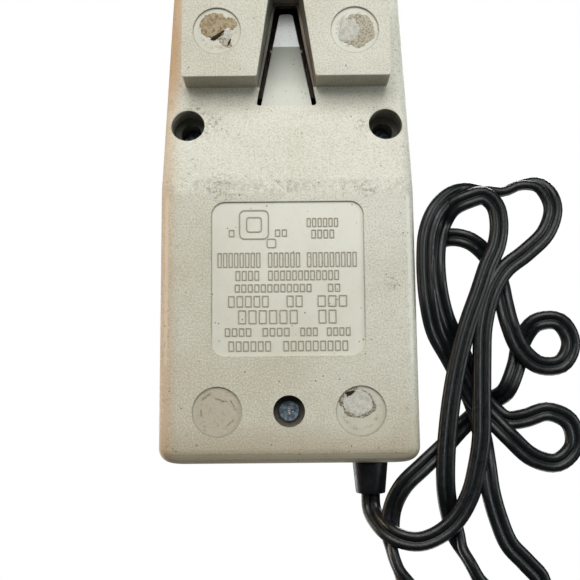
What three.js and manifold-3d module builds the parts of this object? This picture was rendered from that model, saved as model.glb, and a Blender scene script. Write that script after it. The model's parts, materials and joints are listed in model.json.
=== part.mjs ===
// A desk electric pencil sharpener, in millimetres. It stands on z = 0 with its pencil opening towards -Y
// and its supply cord leaving the rear wall towards +Y. Every piece is a separate closed solid.
import * as THREE from "three";
import { mergeVertices } from "three/addons/utils/BufferGeometryUtils.js";
import Module from "manifold-3d";

const wasm = await Module();
wasm.setup();

// ---------- housing ----------
const HALF_LENGTH = 105;
const HALF_WIDTH_REAR = 50.4;
const SIDE_TAPER = 0.0054;
const CREASE_Y = -1.7;
const SLOPE_TAN = 0.32;
const SLOPE = Math.atan(SLOPE_TAN);
const WALL = 2.6;
const EDGE_R = 5.5;
const CORNER_R = 6;
const TRAY_HEIGHT = 18;
const TOP_REAR = 84;
const TOP_RISE = 20;
const TOP_EDGE_R = 12;
const SIDE_LEAN = 2.5;
const FRONT_S = 108.4;
const GAP = 0.3;

// ---------- underside ----------
const PAD_OUTER_X = 41.85;
const PAD_INNER_X = 11.85;
const PAD_NARROWING = 0.152;
const PAD_REAR_Y = -47.5;
const PAD_FRONT_Y = -92;
const BRIDGE_Y = -89.6;
const BRIDGE_Z = 16;
const FOOT_X = 27.6;
const FOOT_REAR_Y = 85;
const FOOT_FRONT_Y = -66.2;
const FOOT_R = 9.525;
const FOOT_DEPTH = 0.8;
const LABEL_X = 29.7;
const LABEL_Y0 = 3.5;
const LABEL_Y1 = 64;
const LABEL_CORNER = 5.3;
const LABEL_DEPTH = 0.7;
const WELL_X = 40.1;
const WELL_Y = -29.8;
const WELL_R = 6.8;
const REAR_WELL_R = 6.1;
const WELL_STEP = 22;
const WELL_NECK_R = 4.3;
const WELL_TOP = 38;
const REAR_WELL_TOP = 13;
const WELL_FLOOR = 3;
const TONGUE_ROOT_Y = -39;
const TONGUE_CREST_Y = -67.2;
const TONGUE_TIP_Y = -87.7;
const TONGUE_ROOT_HALF = 10.5;
const TONGUE_CREST_HALF = 5.75;
const TONGUE_TIP_HALF = 2.86;
const TONGUE_T = 2.2;
const TONGUE_RISE = 4.5;
const SLOT = 2;
const TIP_SLOT = 1.2;

// ---------- front and drawer, in the slope's frame (s forward along the slope, h square to it) ----------
const DRAWER_BACK_S = 45;
const DRAWER_H0 = 3.4;
const DRAWER_H1 = 31;
const DRAWER_HALF = 43;
const DRAWER_WALL = 1.8;
const PANEL_T = 4.4;
const CHANNEL_HALF = 8.5;
const CHANNEL_S1 = 92.5;
const CHANNEL_TOP = 7.4;
const PENCIL_H = 56;
const PENCIL_R = 4.6;

// ---------- mechanism, in the slope's frame ----------
const MOTOR_H = 43.23;
const CLUSTER_X = 16;
const CLUSTER_H = 38.11;
const STACK_S0 = -6;
const STACK_S1 = 12;
const PLANET_OFFSET = 7;
const CUTTER_R = 6.4;
const CUTTER_TILT = Math.atan(3.8 / 26);
const PRESSURE = THREE.MathUtils.degToRad(20);

// ---------- cord ----------
const CORD_WIDTH = 7.4;
const CORD_THICK = 3.9;
const CORD_X = 31.8;
const CORD_Z = 14;
const CORD_STEPS = 78;
const COIL_CENTRE = [22, 203];
const COIL_R = 40;
const COIL_HEIGHT = 8.1;
const CORD_ROUTE = [
  [31.8, 117.6, 14], [31.8, 120.9, 14], [32.1, 124, 13.2], [34, 127.8, 9.2], [37.6, 131.4, 5],
  [43, 133.8, 2.7], [49.5, 134.4, 2.15], [56.8, 131.7, 2.15], [63.3, 126.2, 2.15], [68.8, 116.9, 2.15],
  [71.7, 106.8, 2.15], [73.6, 96.2, 2.15], [74.1, 86, 2.15], [74.4, 75.3, 2.15], [74.8, 64.9, 2.15],
  [75.5, 54.1, 2.15], [77.7, 44.4, 2.15], [80.7, 37, 2.15], [85.2, 30.5, 2.15], [93.4, 24.2, 2.15],
  [101.5, 16.2, 2.15], [104.5, 6, 2.15], [99.8, -2.6, 2.15], [91.9, -2.8, 2.15], [86, -0.6, 3.4],
  [80, -1.6, 6.2], [72.1, -2, 6.4], [64.3, 1.3, 5], [58.2, 7.8, 2.4], [54.9, 16.2, 2.2],
  [54, 25.4, 2.2], [54, 34.7, 2.2], [54.8, 44.1, 2.2], [57.4, 55, 4.4], [62.8, 64.7, 6.4],
  [68, 74.5, 6.4], [73.6, 83.1, 6.4], [79.2, 89.6, 4.5], [84.5, 95.6, 2.15], [93, 103.3, 2.15],
  [102.5, 105.3, 2.15], [109, 99, 2.15], [107.6, 90, 2.15], [99.5, 86, 2.15], [91, 88.6, 4],
  [84.6, 89.2, 6.4], [79.1, 84.6, 8.4], [74.2, 78.4, 8.5], [70.2, 68.2, 8.5], [66.4, 58.8, 8],
  [61.8, 50.2, 5], [58.9, 39.8, 2.5], [58, 29.3, 2.15], [58.9, 20.3, 4], [61.5, 11.9, 6.4],
  [65.2, 5.9, 4], [71.2, 3, 2.15], [77.5, 1.6, 2.15], [81.7, 5.3, 2.15], [83.1, 12.1, 2.15],
  [82, 20.8, 2.15], [78.2, 29.5, 2.15], [74.4, 40, 2.15], [70.2, 50.9, 2.15], [66.3, 63.7, 2.15],
  [63.2, 77.5, 2.15], [61.1, 90.8, 2.15], [59.8, 103.3, 2.15], [59.7, 115.1, 3], [61.5, 124.9, 6],
  [64.6, 136, 5], [68.2, 142.8, 2.15], [73.6, 152, 2.15], [82, 158.6, 2.15], [92.2, 157.2, 2.15],
  [94.6, 149.5, 2.15], [89.2, 142.6, 2.15], [83, 135.8, 2.15], [79.3, 126.7, 2.15], [76.6, 116.2, 2.15],
  [75.7, 106.2, 3.5], [75.1, 96.9, 6.4], [73.6, 86.3, 10.4], [69.8, 75.3, 11.5], [65.1, 64.6, 10.6],
  [59.8, 54, 8.4], [56.2, 43.8, 6.6], [55, 35.1, 6.4], [55.6, 27.1, 6.8], [57.9, 20.9, 8.6],
  [61.7, 17.6, 8.6], [66.5, 17.2, 6.4], [72.1, 19, 5], [77.8, 23.3, 6.4], [81.6, 28.9, 6.4],
  [83.7, 36.1, 6.2], [84.5, 43.9, 4], [86, 52.6, 2.15], [89.6, 61.6, 2.15], [96.6, 68, 2.15],
  [105.5, 67.6, 2.15], [109.4, 59.6, 2.15], [105, 51.4, 2.15], [96.4, 51.8, 3.5], [91.4, 59.1, 6.4],
  [88.6, 68.5, 5], [84.3, 78.1, 5], [80.7, 81.7, 11], [75, 86.8, 14.5], [67.8, 92.5, 12], [60, 99.4, 7],
  [51.8, 106.4, 5.2], [43.6, 114.2, 5.4], [39.6, 123, 8.2], [38.6, 132.2, 8.2], [39.6, 141, 4.5],
  [43.6, 150, 2.3], [49.2, 158.4, 2.2],
];
const TAIL_ROUTE = [[-29.8, 206.9, 6.3], [-31.4, 204.2, 7.2], [-33, 201.4, 8.2]];

// ---------- solids ----------
function solid(geometry) {
  const bare = (geometry.index ? geometry.toNonIndexed() : geometry).clone();
  for (const name of Object.keys(bare.attributes)) {
    if (name !== "position") {
      bare.deleteAttribute(name);
    }
  }
  const merged = mergeVertices(bare, 1e-4);
  return new wasm.Manifold(new wasm.Mesh({
    numProp: 3,
    vertProperties: new Float32Array(merged.attributes.position.array),
    triVerts: new Uint32Array(merged.index.array),
  }));
}

function geometryOf(body) {
  const mesh = body.getMesh();
  const geometry = new THREE.BufferGeometry();
  geometry.setAttribute("position", new THREE.BufferAttribute(new Float32Array(mesh.vertProperties), 3));
  geometry.setIndex(new THREE.BufferAttribute(new Uint32Array(mesh.triVerts), 1));
  geometry.computeVertexNormals();
  return geometry;
}

function carve(base, ...tools) {
  return geometryOf(tools.reduce((body, tool) => body.subtract(solid(tool)), solid(base)));
}

function join(...pieces) {
  return geometryOf(pieces.slice(1).reduce((body, piece) => body.add(solid(piece)), solid(pieces[0])));
}

function common(a, b) {
  return geometryOf(solid(a).intersect(solid(b)));
}

// ---------- shapes ----------
function block(x0, x1, y0, y1, z0, z1) {
  return new THREE.BoxGeometry(x1 - x0, y1 - y0, z1 - z0)
    .translate((x0 + x1) / 2, (y0 + y1) / 2, (z0 + z1) / 2);
}

// A block in the slope's frame: s runs forward along the slope, which is -Y there.
function slab(x0, x1, s0, s1, h0, h1) {
  return block(x0, x1, -s1, -s0, h0, h1);
}

function post(x, y, z0, z1, r, sides = 24) {
  return new THREE.CylinderGeometry(r, r, z1 - z0, sides)
    .rotateX(Math.PI / 2)
    .translate(x, y, (z0 + z1) / 2);
}

// A cylinder lying along s in the slope's frame.
function rod(x, h, s0, s1, r, sides = 24) {
  return new THREE.CylinderGeometry(r, r, s1 - s0, sides).translate(x, -(s0 + s1) / 2, h);
}

function prism(points, z0, z1) {
  const shape = new THREE.Shape(points.map(([x, y]) => new THREE.Vector2(x, y)));
  return new THREE.ExtrudeGeometry(shape, { depth: z1 - z0, bevelEnabled: false }).translate(0, 0, z0);
}

// An outline drawn in x and h, extruded along s in the slope's frame.
function prismAlongS(points, s0, s1) {
  return prism(points, s0, s1).rotateX(Math.PI / 2);
}

function ringAlongS(x, h, s0, s1, outer, inner, sides = 32) {
  const profile = [[inner, s0], [outer, s0], [outer, s1], [inner, s1], [inner, s0]];
  return new THREE.LatheGeometry(profile.map(([r, s]) => new THREE.Vector2(r, -s)).reverse(), sides)
    .translate(x, 0, h);
}

function roundedRectangle(x0, x1, y0, y1, r) {
  const shape = new THREE.Shape();
  shape.absarc(x1 - r, y1 - r, r, 0, Math.PI / 2);
  shape.absarc(x0 + r, y1 - r, r, Math.PI / 2, Math.PI);
  shape.absarc(x0 + r, y0 + r, r, Math.PI, Math.PI * 1.5);
  shape.absarc(x1 - r, y0 + r, r, Math.PI * 1.5, Math.PI * 2);
  return shape;
}

// A closed skin through rings of equal point count, with flat ends.
function loft(rings) {
  const count = rings[0].length;
  const positions = rings.flat().flatMap((p) => p.toArray());
  const faces = [];
  for (let k = 0; k + 1 < rings.length; k += 1) {
    for (let i = 0; i < count; i += 1) {
      const a = k * count + i;
      const b = k * count + ((i + 1) % count);
      faces.push(a, b, b + count, a, b + count, a + count);
    }
  }
  const last = (rings.length - 1) * count;
  for (let i = 1; i + 1 < count; i += 1) {
    faces.push(0, i + 1, i);
    faces.push(last, last + i, last + i + 1);
  }
  const geometry = new THREE.BufferGeometry();
  geometry.setAttribute("position", new THREE.Float32BufferAttribute(positions, 3));
  geometry.setIndex(faces);
  return geometry;
}

// ---------- the housing's form ----------
const toSlope = new THREE.Matrix4()
  .makeTranslation(0, CREASE_Y, 0)
  .multiply(new THREE.Matrix4().makeRotationX(-SLOPE));

function fromSlope(geometry) {
  return geometry.clone().applyMatrix4(toSlope);
}

// How far forward along the slope a point of the underside lies.
function alongSlope(y) {
  return (CREASE_Y - y) / Math.cos(SLOPE);
}

function bottomAt(y) {
  return Math.max(0, (CREASE_Y - y) * SLOPE_TAN);
}

function topAt(y) {
  return TOP_REAR + TOP_RISE * (HALF_LENGTH - y) / (2 * HALF_LENGTH - 23);
}

function halfWidthAt(y) {
  return HALF_WIDTH_REAR - SIDE_TAPER * (HALF_LENGTH - 20 - y);
}

function arc(cx, cz, r, from, to, steps) {
  return Array.from({ length: steps + 1 }, (_, i) => {
    const angle = THREE.MathUtils.degToRad(from + (to - from) * i / steps);
    return [cx + r * Math.cos(angle), cz + r * Math.sin(angle)];
  });
}

// Lengthwise stations, closing in round the rear corners; inset is how far the walls have drawn in there.
function stations(offset) {
  const r = CORNER_R - offset * 0.6;
  const rear = [0, 30, 60, 90].map((degrees) => {
    const angle = THREE.MathUtils.degToRad(degrees);
    return { y: HALF_LENGTH - offset - r + r * Math.sin(angle), inset: r * (1 - Math.cos(angle)) };
  });
  return [{ y: -120, inset: 0 }, { y: CREASE_Y, inset: 0 }, ...rear];
}

function trayRing({ y, inset }, offset) {
  const w = halfWidthAt(y) - offset - inset;
  const r = EDGE_R - offset * 0.6;
  const floor = bottomAt(y) + offset + inset * 0.9;
  const top = bottomAt(y) + TRAY_HEIGHT + (offset > 0 ? 1 : 0);
  const outline = [
    [w, top],
    ...arc(w - r, floor + r, r, 0, -90, 4),
    ...arc(-w + r, floor + r, r, -90, -180, 4),
    [-w, top],
  ];
  return outline.map(([x, z]) => new THREE.Vector3(x, y, z));
}

function coverRing({ y, inset }, offset) {
  const w = halfWidthAt(y) - offset - inset;
  const r = TOP_EDGE_R - offset * 0.6;
  const base = bottomAt(y) + TRAY_HEIGHT + GAP - (offset > 0 ? 1 : 0);
  const top = topAt(y) - offset - inset * 0.9;
  const lean = w - SIDE_LEAN;
  const outline = [
    [-w, base],
    ...arc(-lean + r, top - r, r, 180, 90, 5),
    ...arc(lean - r, top - r, r, 90, 0, 5),
    [w, base],
  ];
  return outline.map(([x, z]) => new THREE.Vector3(x, y, z));
}

function frontLimit(s) {
  return fromSlope(slab(-80, 80, -260, s, -80, 200));
}

function shell(ring) {
  const outer = loft(stations(0).map((station) => ring(station, 0)));
  const inner = loft(stations(WALL).map((station) => ring(station, WALL)));
  return common(carve(outer, inner), frontLimit(FRONT_S));
}

// ---------- base plate ----------
function padInnerX(y) {
  return PAD_INNER_X - PAD_NARROWING * (PAD_REAR_Y - y);
}

function padOutline(side, inset) {
  const rear = PAD_REAR_Y - inset;
  const front = PAD_FRONT_Y + inset;
  const points = [
    [padInnerX(rear) + inset, rear],
    [PAD_OUTER_X - inset, rear],
    [PAD_OUTER_X - inset - 0.6, front],
    [padInnerX(front) + inset, front],
  ];
  return points.map(([x, y]) => [side * x, y]);
}

function underSlope(h) {
  return fromSlope(slab(-80, 80, -10, 200, -80, h));
}

function pad(side) {
  return common(prism(padOutline(side, 0), 0, 60), underSlope(WALL - 0.4));
}

// The wall that joins the two pads ahead of the tongue and closes the front of the notch between them.
function bridge() {
  const near = padInnerX(BRIDGE_Y) + 1;
  const far = padInnerX(PAD_FRONT_Y) + 1;
  const outline = [[near, BRIDGE_Y], [-near, BRIDGE_Y], [-far, PAD_FRONT_Y], [far, PAD_FRONT_Y]];
  return common(prism(outline.reverse(), BRIDGE_Z, 60), underSlope(WALL - 0.4));
}

function padPocket(side) {
  const pocket = prism(padOutline(side, 2.4), 2.6, 60);
  return common(pocket, underSlope(WALL + 1));
}

function wells() {
  return [-1, 1].flatMap((side) => [
    post(side * WELL_X, WELL_Y, bottomAt(WELL_Y) + 1, WELL_STEP + 1.6, WELL_R + 1),
    post(side * WELL_X, WELL_Y, WELL_STEP, WELL_TOP, WELL_NECK_R + 1.3),
  ]);
}

// Half the width of the tongue: one taper from the root to the crest, another from there to the tip.
function tongueHalf(y) {
  if (y > TONGUE_CREST_Y) {
    const t = (TONGUE_ROOT_Y - y) / (TONGUE_ROOT_Y - TONGUE_CREST_Y);
    return TONGUE_ROOT_HALF + (TONGUE_CREST_HALF - TONGUE_ROOT_HALF) * t;
  }
  const t = (TONGUE_CREST_Y - y) / (TONGUE_CREST_Y - TONGUE_TIP_Y);
  return TONGUE_CREST_HALF + (TONGUE_TIP_HALF - TONGUE_CREST_HALF) * t;
}

function tongueOpening() {
  const stops = [TONGUE_ROOT_Y, TONGUE_CREST_Y, TONGUE_TIP_Y - TIP_SLOT];
  const right = stops.map((y) => [tongueHalf(y) + SLOT, y]);
  const left = right.map(([x, y]) => [-x, y]).reverse();
  return fromSlope(prism([...right, ...left].map(([x, y]) => [x, -alongSlope(y)]), -2, 40));
}

function labelRecess() {
  const outline = roundedRectangle(-LABEL_X, LABEL_X, LABEL_Y0, LABEL_Y1, LABEL_CORNER);
  const options = { depth: LABEL_DEPTH + 1, bevelEnabled: false, curveSegments: 6 };
  return new THREE.ExtrudeGeometry(outline, options).translate(0, 0, -1);
}

function footPlaces() {
  return [-1, 1].flatMap((side) => [
    { side, name: side < 0 ? "left" : "right", end: "front", y: FOOT_FRONT_Y },
    { side, name: side < 0 ? "left" : "right", end: "rear", y: FOOT_REAR_Y },
  ]);
}

function cradle() {
  return [-1, 1].map((side) => fromSlope(slab(side * 23 - 1.5, side * 23 + 1.5, -4, 10, 2, 27)));
}

function basePlate() {
  const tray = join(
    shell(trayRing),
    pad(-1),
    pad(1),
    bridge(),
    ...wells(),
    post(0, FOOT_REAR_Y, 1, REAR_WELL_TOP, REAR_WELL_R + 1.6),
    ...cradle(),
  );
  const holes = [-1, 1].flatMap((side) => [
    padPocket(side),
    post(side * WELL_X, WELL_Y, -5, WELL_STEP, WELL_R, 32),
    post(side * WELL_X, WELL_Y, 20, WELL_TOP - WELL_FLOOR, WELL_NECK_R),
    post(side * WELL_X, WELL_Y, 20, 60, 2.1, 12),
  ]);
  const feet = footPlaces().map(({ side, y }) => post(side * FOOT_X, y, -1, FOOT_DEPTH, FOOT_R, 40));
  const strainHole = block(CORD_X - 4.4, CORD_X + 4.4, 90, 120, CORD_Z - 3.2, 60);
  return carve(
    tray,
    ...holes,
    ...feet,
    post(0, FOOT_REAR_Y, -5, REAR_WELL_TOP - WELL_FLOOR, REAR_WELL_R, 32),
    post(0, FOOT_REAR_Y, 5, 60, 2.1, 12),
    labelRecess(),
    tongueOpening(),
    strainHole,
  );
}

// ---------- top cover ----------
function coverBoss(x, y, z0) {
  const skin = loft(stations(1).map((station) => coverRing(station, 1)));
  const head = common(post(x, y, 45, topAt(y), 4.4, 16), skin);
  return join(post(x, y, z0 + GAP, 46, 4.4, 16), head);
}

function bossHole(x, y, z0) {
  return post(x, y, z0 - 1, z0 + 15, 2.1, 12);
}

function topCover() {
  const places = [[-WELL_X, WELL_Y, WELL_TOP], [WELL_X, WELL_Y, WELL_TOP], [0, FOOT_REAR_Y, REAR_WELL_TOP]];
  const body = join(shell(coverRing), ...places.map((place) => coverBoss(...place)));
  return carve(body, ...places.map((place) => bossHole(...place)));
}

// ---------- front bezel, guide and drawer (slope's frame) ----------
function insideCover(clearance) {
  const inner = loft(stations(WALL + clearance).map((station) => coverRing(station, WALL + clearance)));
  const lower = loft(stations(WALL + clearance).map((station) => trayRing(station, WALL + clearance)));
  const back = toSlope.clone().invert();
  return join(inner, lower).applyMatrix4(back);
}

function frontBezel() {
  const face = slab(-60, 60, FRONT_S - PANEL_T, FRONT_S - 0.6, DRAWER_H1 + 0.9, 120);
  const rim = ringAlongS(0, PENCIL_H, FRONT_S - 1.5, FRONT_S + 1.4, 14.8, 12.8, 40);
  const plate = join(common(face, insideCover(0.35)), rim);
  return carve(plate, rod(0, PENCIL_H, FRONT_S - 10, FRONT_S + 5, 10.4, 40));
}

function pencilGuide() {
  const profile = [
    [PENCIL_R, 97], [8.6, 97], [8.6, 103.2], [12.6, 103.2], [12.6, 103.7], [9.9, 103.7],
    [9.9, 108.6], [8.4, 109.2], [PENCIL_R, 105.2], [PENCIL_R, 97],
  ];
  return new THREE.LatheGeometry(profile.map(([r, s]) => new THREE.Vector2(r, -s)).reverse(), 40)
    .translate(0, 0, PENCIL_H);
}

function drawer() {
  const s1 = FRONT_S - PANEL_T;
  const box = slab(-DRAWER_HALF, DRAWER_HALF, DRAWER_BACK_S, s1 + 1, DRAWER_H0, DRAWER_H1 - 1);
  const panel = common(
    slab(-60, 60, s1, FRONT_S - 0.4, DRAWER_H0, DRAWER_H1),
    insideCover(0.35),
  );
  const hollow = slab(
    -DRAWER_HALF + DRAWER_WALL,
    DRAWER_HALF - DRAWER_WALL,
    DRAWER_BACK_S + DRAWER_WALL,
    s1,
    DRAWER_H0 + DRAWER_WALL,
    60,
  );
  const hump = slab(
    -CHANNEL_HALF - DRAWER_WALL,
    CHANNEL_HALF + DRAWER_WALL,
    DRAWER_BACK_S,
    CHANNEL_S1 + DRAWER_WALL,
    DRAWER_H0,
    CHANNEL_TOP + DRAWER_WALL,
  );
  const channel = slab(-CHANNEL_HALF, CHANNEL_HALF, DRAWER_BACK_S - 1, CHANNEL_S1, 0, CHANNEL_TOP);
  const grip = slab(-16, 16, FRONT_S - 2.4, FRONT_S + 5, DRAWER_H1 - 9, DRAWER_H1 - 2.2);
  return carve(join(carve(join(box, panel), hollow), hump), channel, grip);
}

// ---------- tongue (row frame, lying in the slope) ----------
function tongueSection(y, half, lift) {
  const h0 = lift;
  const h1 = lift + TONGUE_T;
  const s = alongSlope(y);
  return [[half, h0], [half, h1], [-half, h1], [-half, h0]].map(([x, h]) => new THREE.Vector3(x, -s, h));
}

function latchTongue() {
  const rings = [
    tongueSection(TONGUE_TIP_Y, TONGUE_TIP_HALF - 1, TONGUE_RISE),
    tongueSection(TONGUE_TIP_Y + 1, TONGUE_TIP_HALF, TONGUE_RISE - 0.3),
    tongueSection(TONGUE_CREST_Y - 1.2, TONGUE_CREST_HALF - 0.2, 0.3),
    tongueSection(TONGUE_CREST_Y, TONGUE_CREST_HALF, 0),
    tongueSection(TONGUE_ROOT_Y - GAP, TONGUE_ROOT_HALF, 0),
  ];
  return loft(rings.reverse());
}

// ---------- gears ----------
// The outline of an involute spur gear about the origin, one tooth centred on the angle turn.
function gearOutline({ module, teeth, turn = 0, backlash = 0.12, addendum = 0.9, dedendum = 1.3 }) {
  const pitch = module * teeth / 2;
  const base = pitch * Math.cos(PRESSURE);
  const tip = pitch + addendum * module;
  const root = pitch - dedendum * module;
  const involute = (r) => {
    const a = Math.acos(Math.min(1, base / r));
    return Math.tan(a) - a;
  };
  const halfPitch = Math.PI / 2 / teeth - backlash / 2 / pitch;
  const halfAt = (r) => halfPitch + involute(pitch) - involute(Math.max(r, base));
  const radii = [Math.max(base, root), pitch, tip];
  const points = [];
  for (let i = 0; i < teeth; i += 1) {
    const centre = turn + i * 2 * Math.PI / teeth;
    const flank = root < base ? [root, ...radii] : radii;
    const rising = flank.map((r) => [r, centre - halfAt(r)]);
    const falling = [...flank].reverse().map((r) => [r, centre + halfAt(r)]);
    for (const [r, angle] of [...rising, ...falling]) {
      points.push([r * Math.cos(angle), r * Math.sin(angle)]);
    }
  }
  return points;
}

function gear(options, x, h, s0, s1) {
  return prismAlongS(gearOutline(options), s0, s1).translate(x, 0, h);
}

const PINION = { module: 0.6, teeth: 12 };
const CLUSTER_WHEEL = { module: 0.6, teeth: 44 };
const CLUSTER_PINION = { module: 1, teeth: 12 };
const CARRIER_WHEEL = { module: 1, teeth: 36 };
const PLANET = { module: 1, teeth: 12, backlash: 0.3, addendum: 0.7 };
const RING = { module: 1, teeth: 26 };

// Angles in the x-h plane, anticlockwise as drawn, that put a tooth of one wheel in a gap of its neighbour.
const TO_CLUSTER = Math.atan2(CLUSTER_H - MOTOR_H, CLUSTER_X);
const TO_CARRIER = Math.atan2(PENCIL_H - CLUSTER_H, -CLUSTER_X);

function meshed(followerTeeth, angle) {
  return angle + Math.PI + Math.PI / followerTeeth;
}

function rotor() {
  return join(
    rod(0, MOTOR_H, STACK_S0, STACK_S1, 13, 40),
    rod(0, MOTOR_H, -20, 41.2, 2, 16),
    gear({ ...PINION, turn: TO_CLUSTER }, 0, MOTOR_H, 35.8, 41.2),
  );
}

function clusterGear() {
  const wheel = gear({ ...CLUSTER_WHEEL, turn: meshed(44, TO_CLUSTER) }, CLUSTER_X, CLUSTER_H, 36.6, 40.6);
  const pinion = gear({ ...CLUSTER_PINION, turn: TO_CARRIER }, CLUSTER_X, CLUSTER_H, 40, 51.4);
  return carve(join(wheel, pinion), rod(CLUSTER_X, CLUSTER_H, 30, 60, 1.8, 16));
}

function bar(side) {
  return slab(-4, 4, 53, 90, PENCIL_H + side * 9.2 - 1.5, PENCIL_H + side * 9.2 + 1.5);
}

function cutterCarrier() {
  const body = join(
    gear({ ...CARRIER_WHEEL, turn: meshed(36, TO_CARRIER) }, 0, PENCIL_H, 46.6, 51),
    rod(0, PENCIL_H, 36.2, 55.2, 4, 20),
    rod(0, PENCIL_H, 51, 55.2, 10.8, 32),
    rod(0, PENCIL_H, 87.4, 90.6, 16.5, 40),
    bar(-1),
    bar(1),
  );
  return carve(
    body,
    rod(0, PENCIL_H, 80, 95, 5.4, 24),
    ...[-1, 1].map((side) => cutterAxis(side, rod(0, 0, 45, 100, 1.65, 14))),
  );
}

// Places a piece made round its own s axis on a cutter's axis, which leans in towards the pencil's point.
function cutterAxis(side, geometry) {
  return geometry
    .translate(0, 58.7, 0)
    .rotateZ(side * CUTTER_TILT)
    .translate(side * PLANET_OFFSET, -58.7, PENCIL_H);
}

function cutterBlank() {
  const turns = 6;
  const flutes = 6;
  const rings = Array.from({ length: turns + 1 }, (_, k) => {
    const s = 62 + 24 * k / turns;
    const twist = 1.9 * k / turns;
    return Array.from({ length: flutes * 4 }, (_, i) => {
      const r = i % 4 < 2 ? CUTTER_R : CUTTER_R - 0.9;
      const angle = twist + (i + (i % 2 ? 0.6 : 0)) * Math.PI * 2 / (flutes * 4);
      return new THREE.Vector3(r * Math.cos(angle), -s, r * Math.sin(angle));
    });
  });
  return loft(rings);
}

function cutter(side) {
  const body = join(
    cutterBlank(),
    rod(0, 0, 60, 62.5, 4.6, 20),
    gear({ ...PLANET, turn: Math.PI / 12 }, 0, 0, 57.2, 60.2),
  );
  return cutterAxis(side, carve(body, rod(0, 0, 50, 95, 1.7, 14)));
}

function cutterPin(side) {
  return cutterAxis(side, rod(0, 0, 52.2, 90, 1.35, 14));
}

function ringGear() {
  const teeth = gearOutline({ ...RING, addendum: 1.35, dedendum: 0.7, backlash: -0.3, turn: Math.PI / 26 });
  const cutTool = prismAlongS(teeth, 40, 70).translate(0, 0, PENCIL_H);
  const body = join(
    rod(0, PENCIL_H, 55.9, 60.8, 17.5, 40),
    slab(-30, 30, 57.2, 59.4, PENCIL_H - 20, PENCIL_H + 22),
  );
  const cutouts = [rod(CLUSTER_X, CLUSTER_H, 50, 70, 1.8, 16)];
  return carve(body, cutTool, ...cutouts);
}

function gearPlate() {
  const plate = join(
    slab(-30, 30, 33, 35.4, 24, PENCIL_H + 22),
    slab(-12, 12, 33, 35.4, 3.4, 25),
  );
  return carve(
    plate,
    rod(0, MOTOR_H, 30, 40, 4, 20),
    rod(CLUSTER_X, CLUSTER_H, 30, 40, 1.8, 16),
  );
}

// ---------- motor ----------
function stator() {
  return carve(
    slab(-27, 27, STACK_S0, STACK_S1, 27.5, 77),
    rod(0, MOTOR_H, -20, 30, 13.4, 40),
    slab(-14.5, 14.5, -20, 30, 59.2, 70.5),
  );
}

function bobbin() {
  const core = slab(-13.4, 13.4, STACK_S0 - 1.3, STACK_S1 + 1.3, 69, 78.5);
  const flanges = [-1, 1].map((side) => slab(
    side * 12.9 - 0.8, side * 12.9 + 0.8, STACK_S0 - 8, STACK_S1 + 8, 60.6, 86,
  ));
  return carve(join(core, ...flanges), slab(-20, 20, STACK_S0 - 0.3, STACK_S1 + 0.3, 70.2, 77.3));
}

function winding() {
  return carve(
    slab(-11.8, 11.8, STACK_S0 - 7.4, STACK_S1 + 7.4, 61.2, 85.4),
    slab(-20, 20, STACK_S0 - 1.6, STACK_S1 + 1.6, 68.7, 78.8),
  );
}

function motorBracket(sign) {
  const near = sign > 0 ? STACK_S1 + GAP : STACK_S0 - GAP;
  const span = (from, to) => [near + sign * from, near + sign * to].sort((a, b) => a - b);
  const legs = [-1, 1].map((side) => slab(side * 23 - 2, side * 23 + 2, ...span(0, 8), 37, 50));
  const plate = slab(-25, 25, ...span(7, 9.5), 37, 50);
  return carve(join(plate, ...legs), rod(0, MOTOR_H, -40, 40, 5.3, 24));
}

function bearing(sign) {
  const near = sign > 0 ? STACK_S1 + GAP : STACK_S0 - GAP;
  const [s0, s1] = [near + sign * 6.6, near + sign * 10.4].sort((a, b) => a - b);
  return ringAlongS(0, MOTOR_H, s0, s1, 5, 2.3, 24);
}

// ---------- switches ----------
function pencilSwitch() {
  return slab(21, 35, 92.2, 99, 36.5, 47.5);
}

function switchLever() {
  const arm = slab(2, 30, 92.6, 94.4, 51.6, 53.4);
  return join(rod(27, 52.5, 92.6, 98.4, 2.2, 16), arm, slab(0, 4, 92.4, 95, 51.2, 54.2));
}

function drawerSwitch() {
  return carve(slab(-29, -17, 25, 35.4, 5, 15), rod(-23, 10, 31, 40, 1.9, 16));
}

function drawerPlunger() {
  return join(rod(-23, 10, 34.2, 44.6, 1.5, 16), rod(-23, 10, 42.8, 44.6, 2.6, 16));
}

// ---------- screws and residue ----------
function screw(x, y, headTop) {
  const head = post(x, y, headTop - 2.4, headTop, 3.9, 24);
  const recess = join(
    block(x - 2.3, x + 2.3, y - 0.5, y + 0.5, headTop - 4, headTop - 1),
    block(x - 0.5, x + 0.5, y - 2.3, y + 2.3, headTop - 4, headTop - 1),
  );
  return carve(join(head, post(x, y, headTop - 0.5, headTop + 15, 1.75, 12)), recess);
}

function footResidue(side, y, r) {
  return post(side * FOOT_X, y, 0.25, 0.5, r, 20);
}

// ---------- cord, strain relief and plug ----------
function ellipse(cx, cz, rx, rz, sides) {
  return Array.from({ length: sides }, (_, i) => {
    const angle = i * 2 * Math.PI / sides;
    return [cx + rx * Math.cos(angle), cz + rz * Math.sin(angle)];
  });
}

function strainRing(y, rx, rz) {
  return ellipse(CORD_X, CORD_Z, rx, rz, 20).reverse().map(([x, z]) => new THREE.Vector3(x, y, z));
}

function strainRelief() {
  const profile = [
    [96, 6.5, 5.4], [101.6, 6.6, 5.6], [101.7, 4.1, 2.9], [105.4, 4.1, 2.9], [105.5, 6.9, 6.3],
    [108, 6.8, 6.2], [117.2, 5.8, 5.3],
  ];
  return loft(profile.map(([y, rx, rz]) => strainRing(y, rx, rz)));
}

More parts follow.
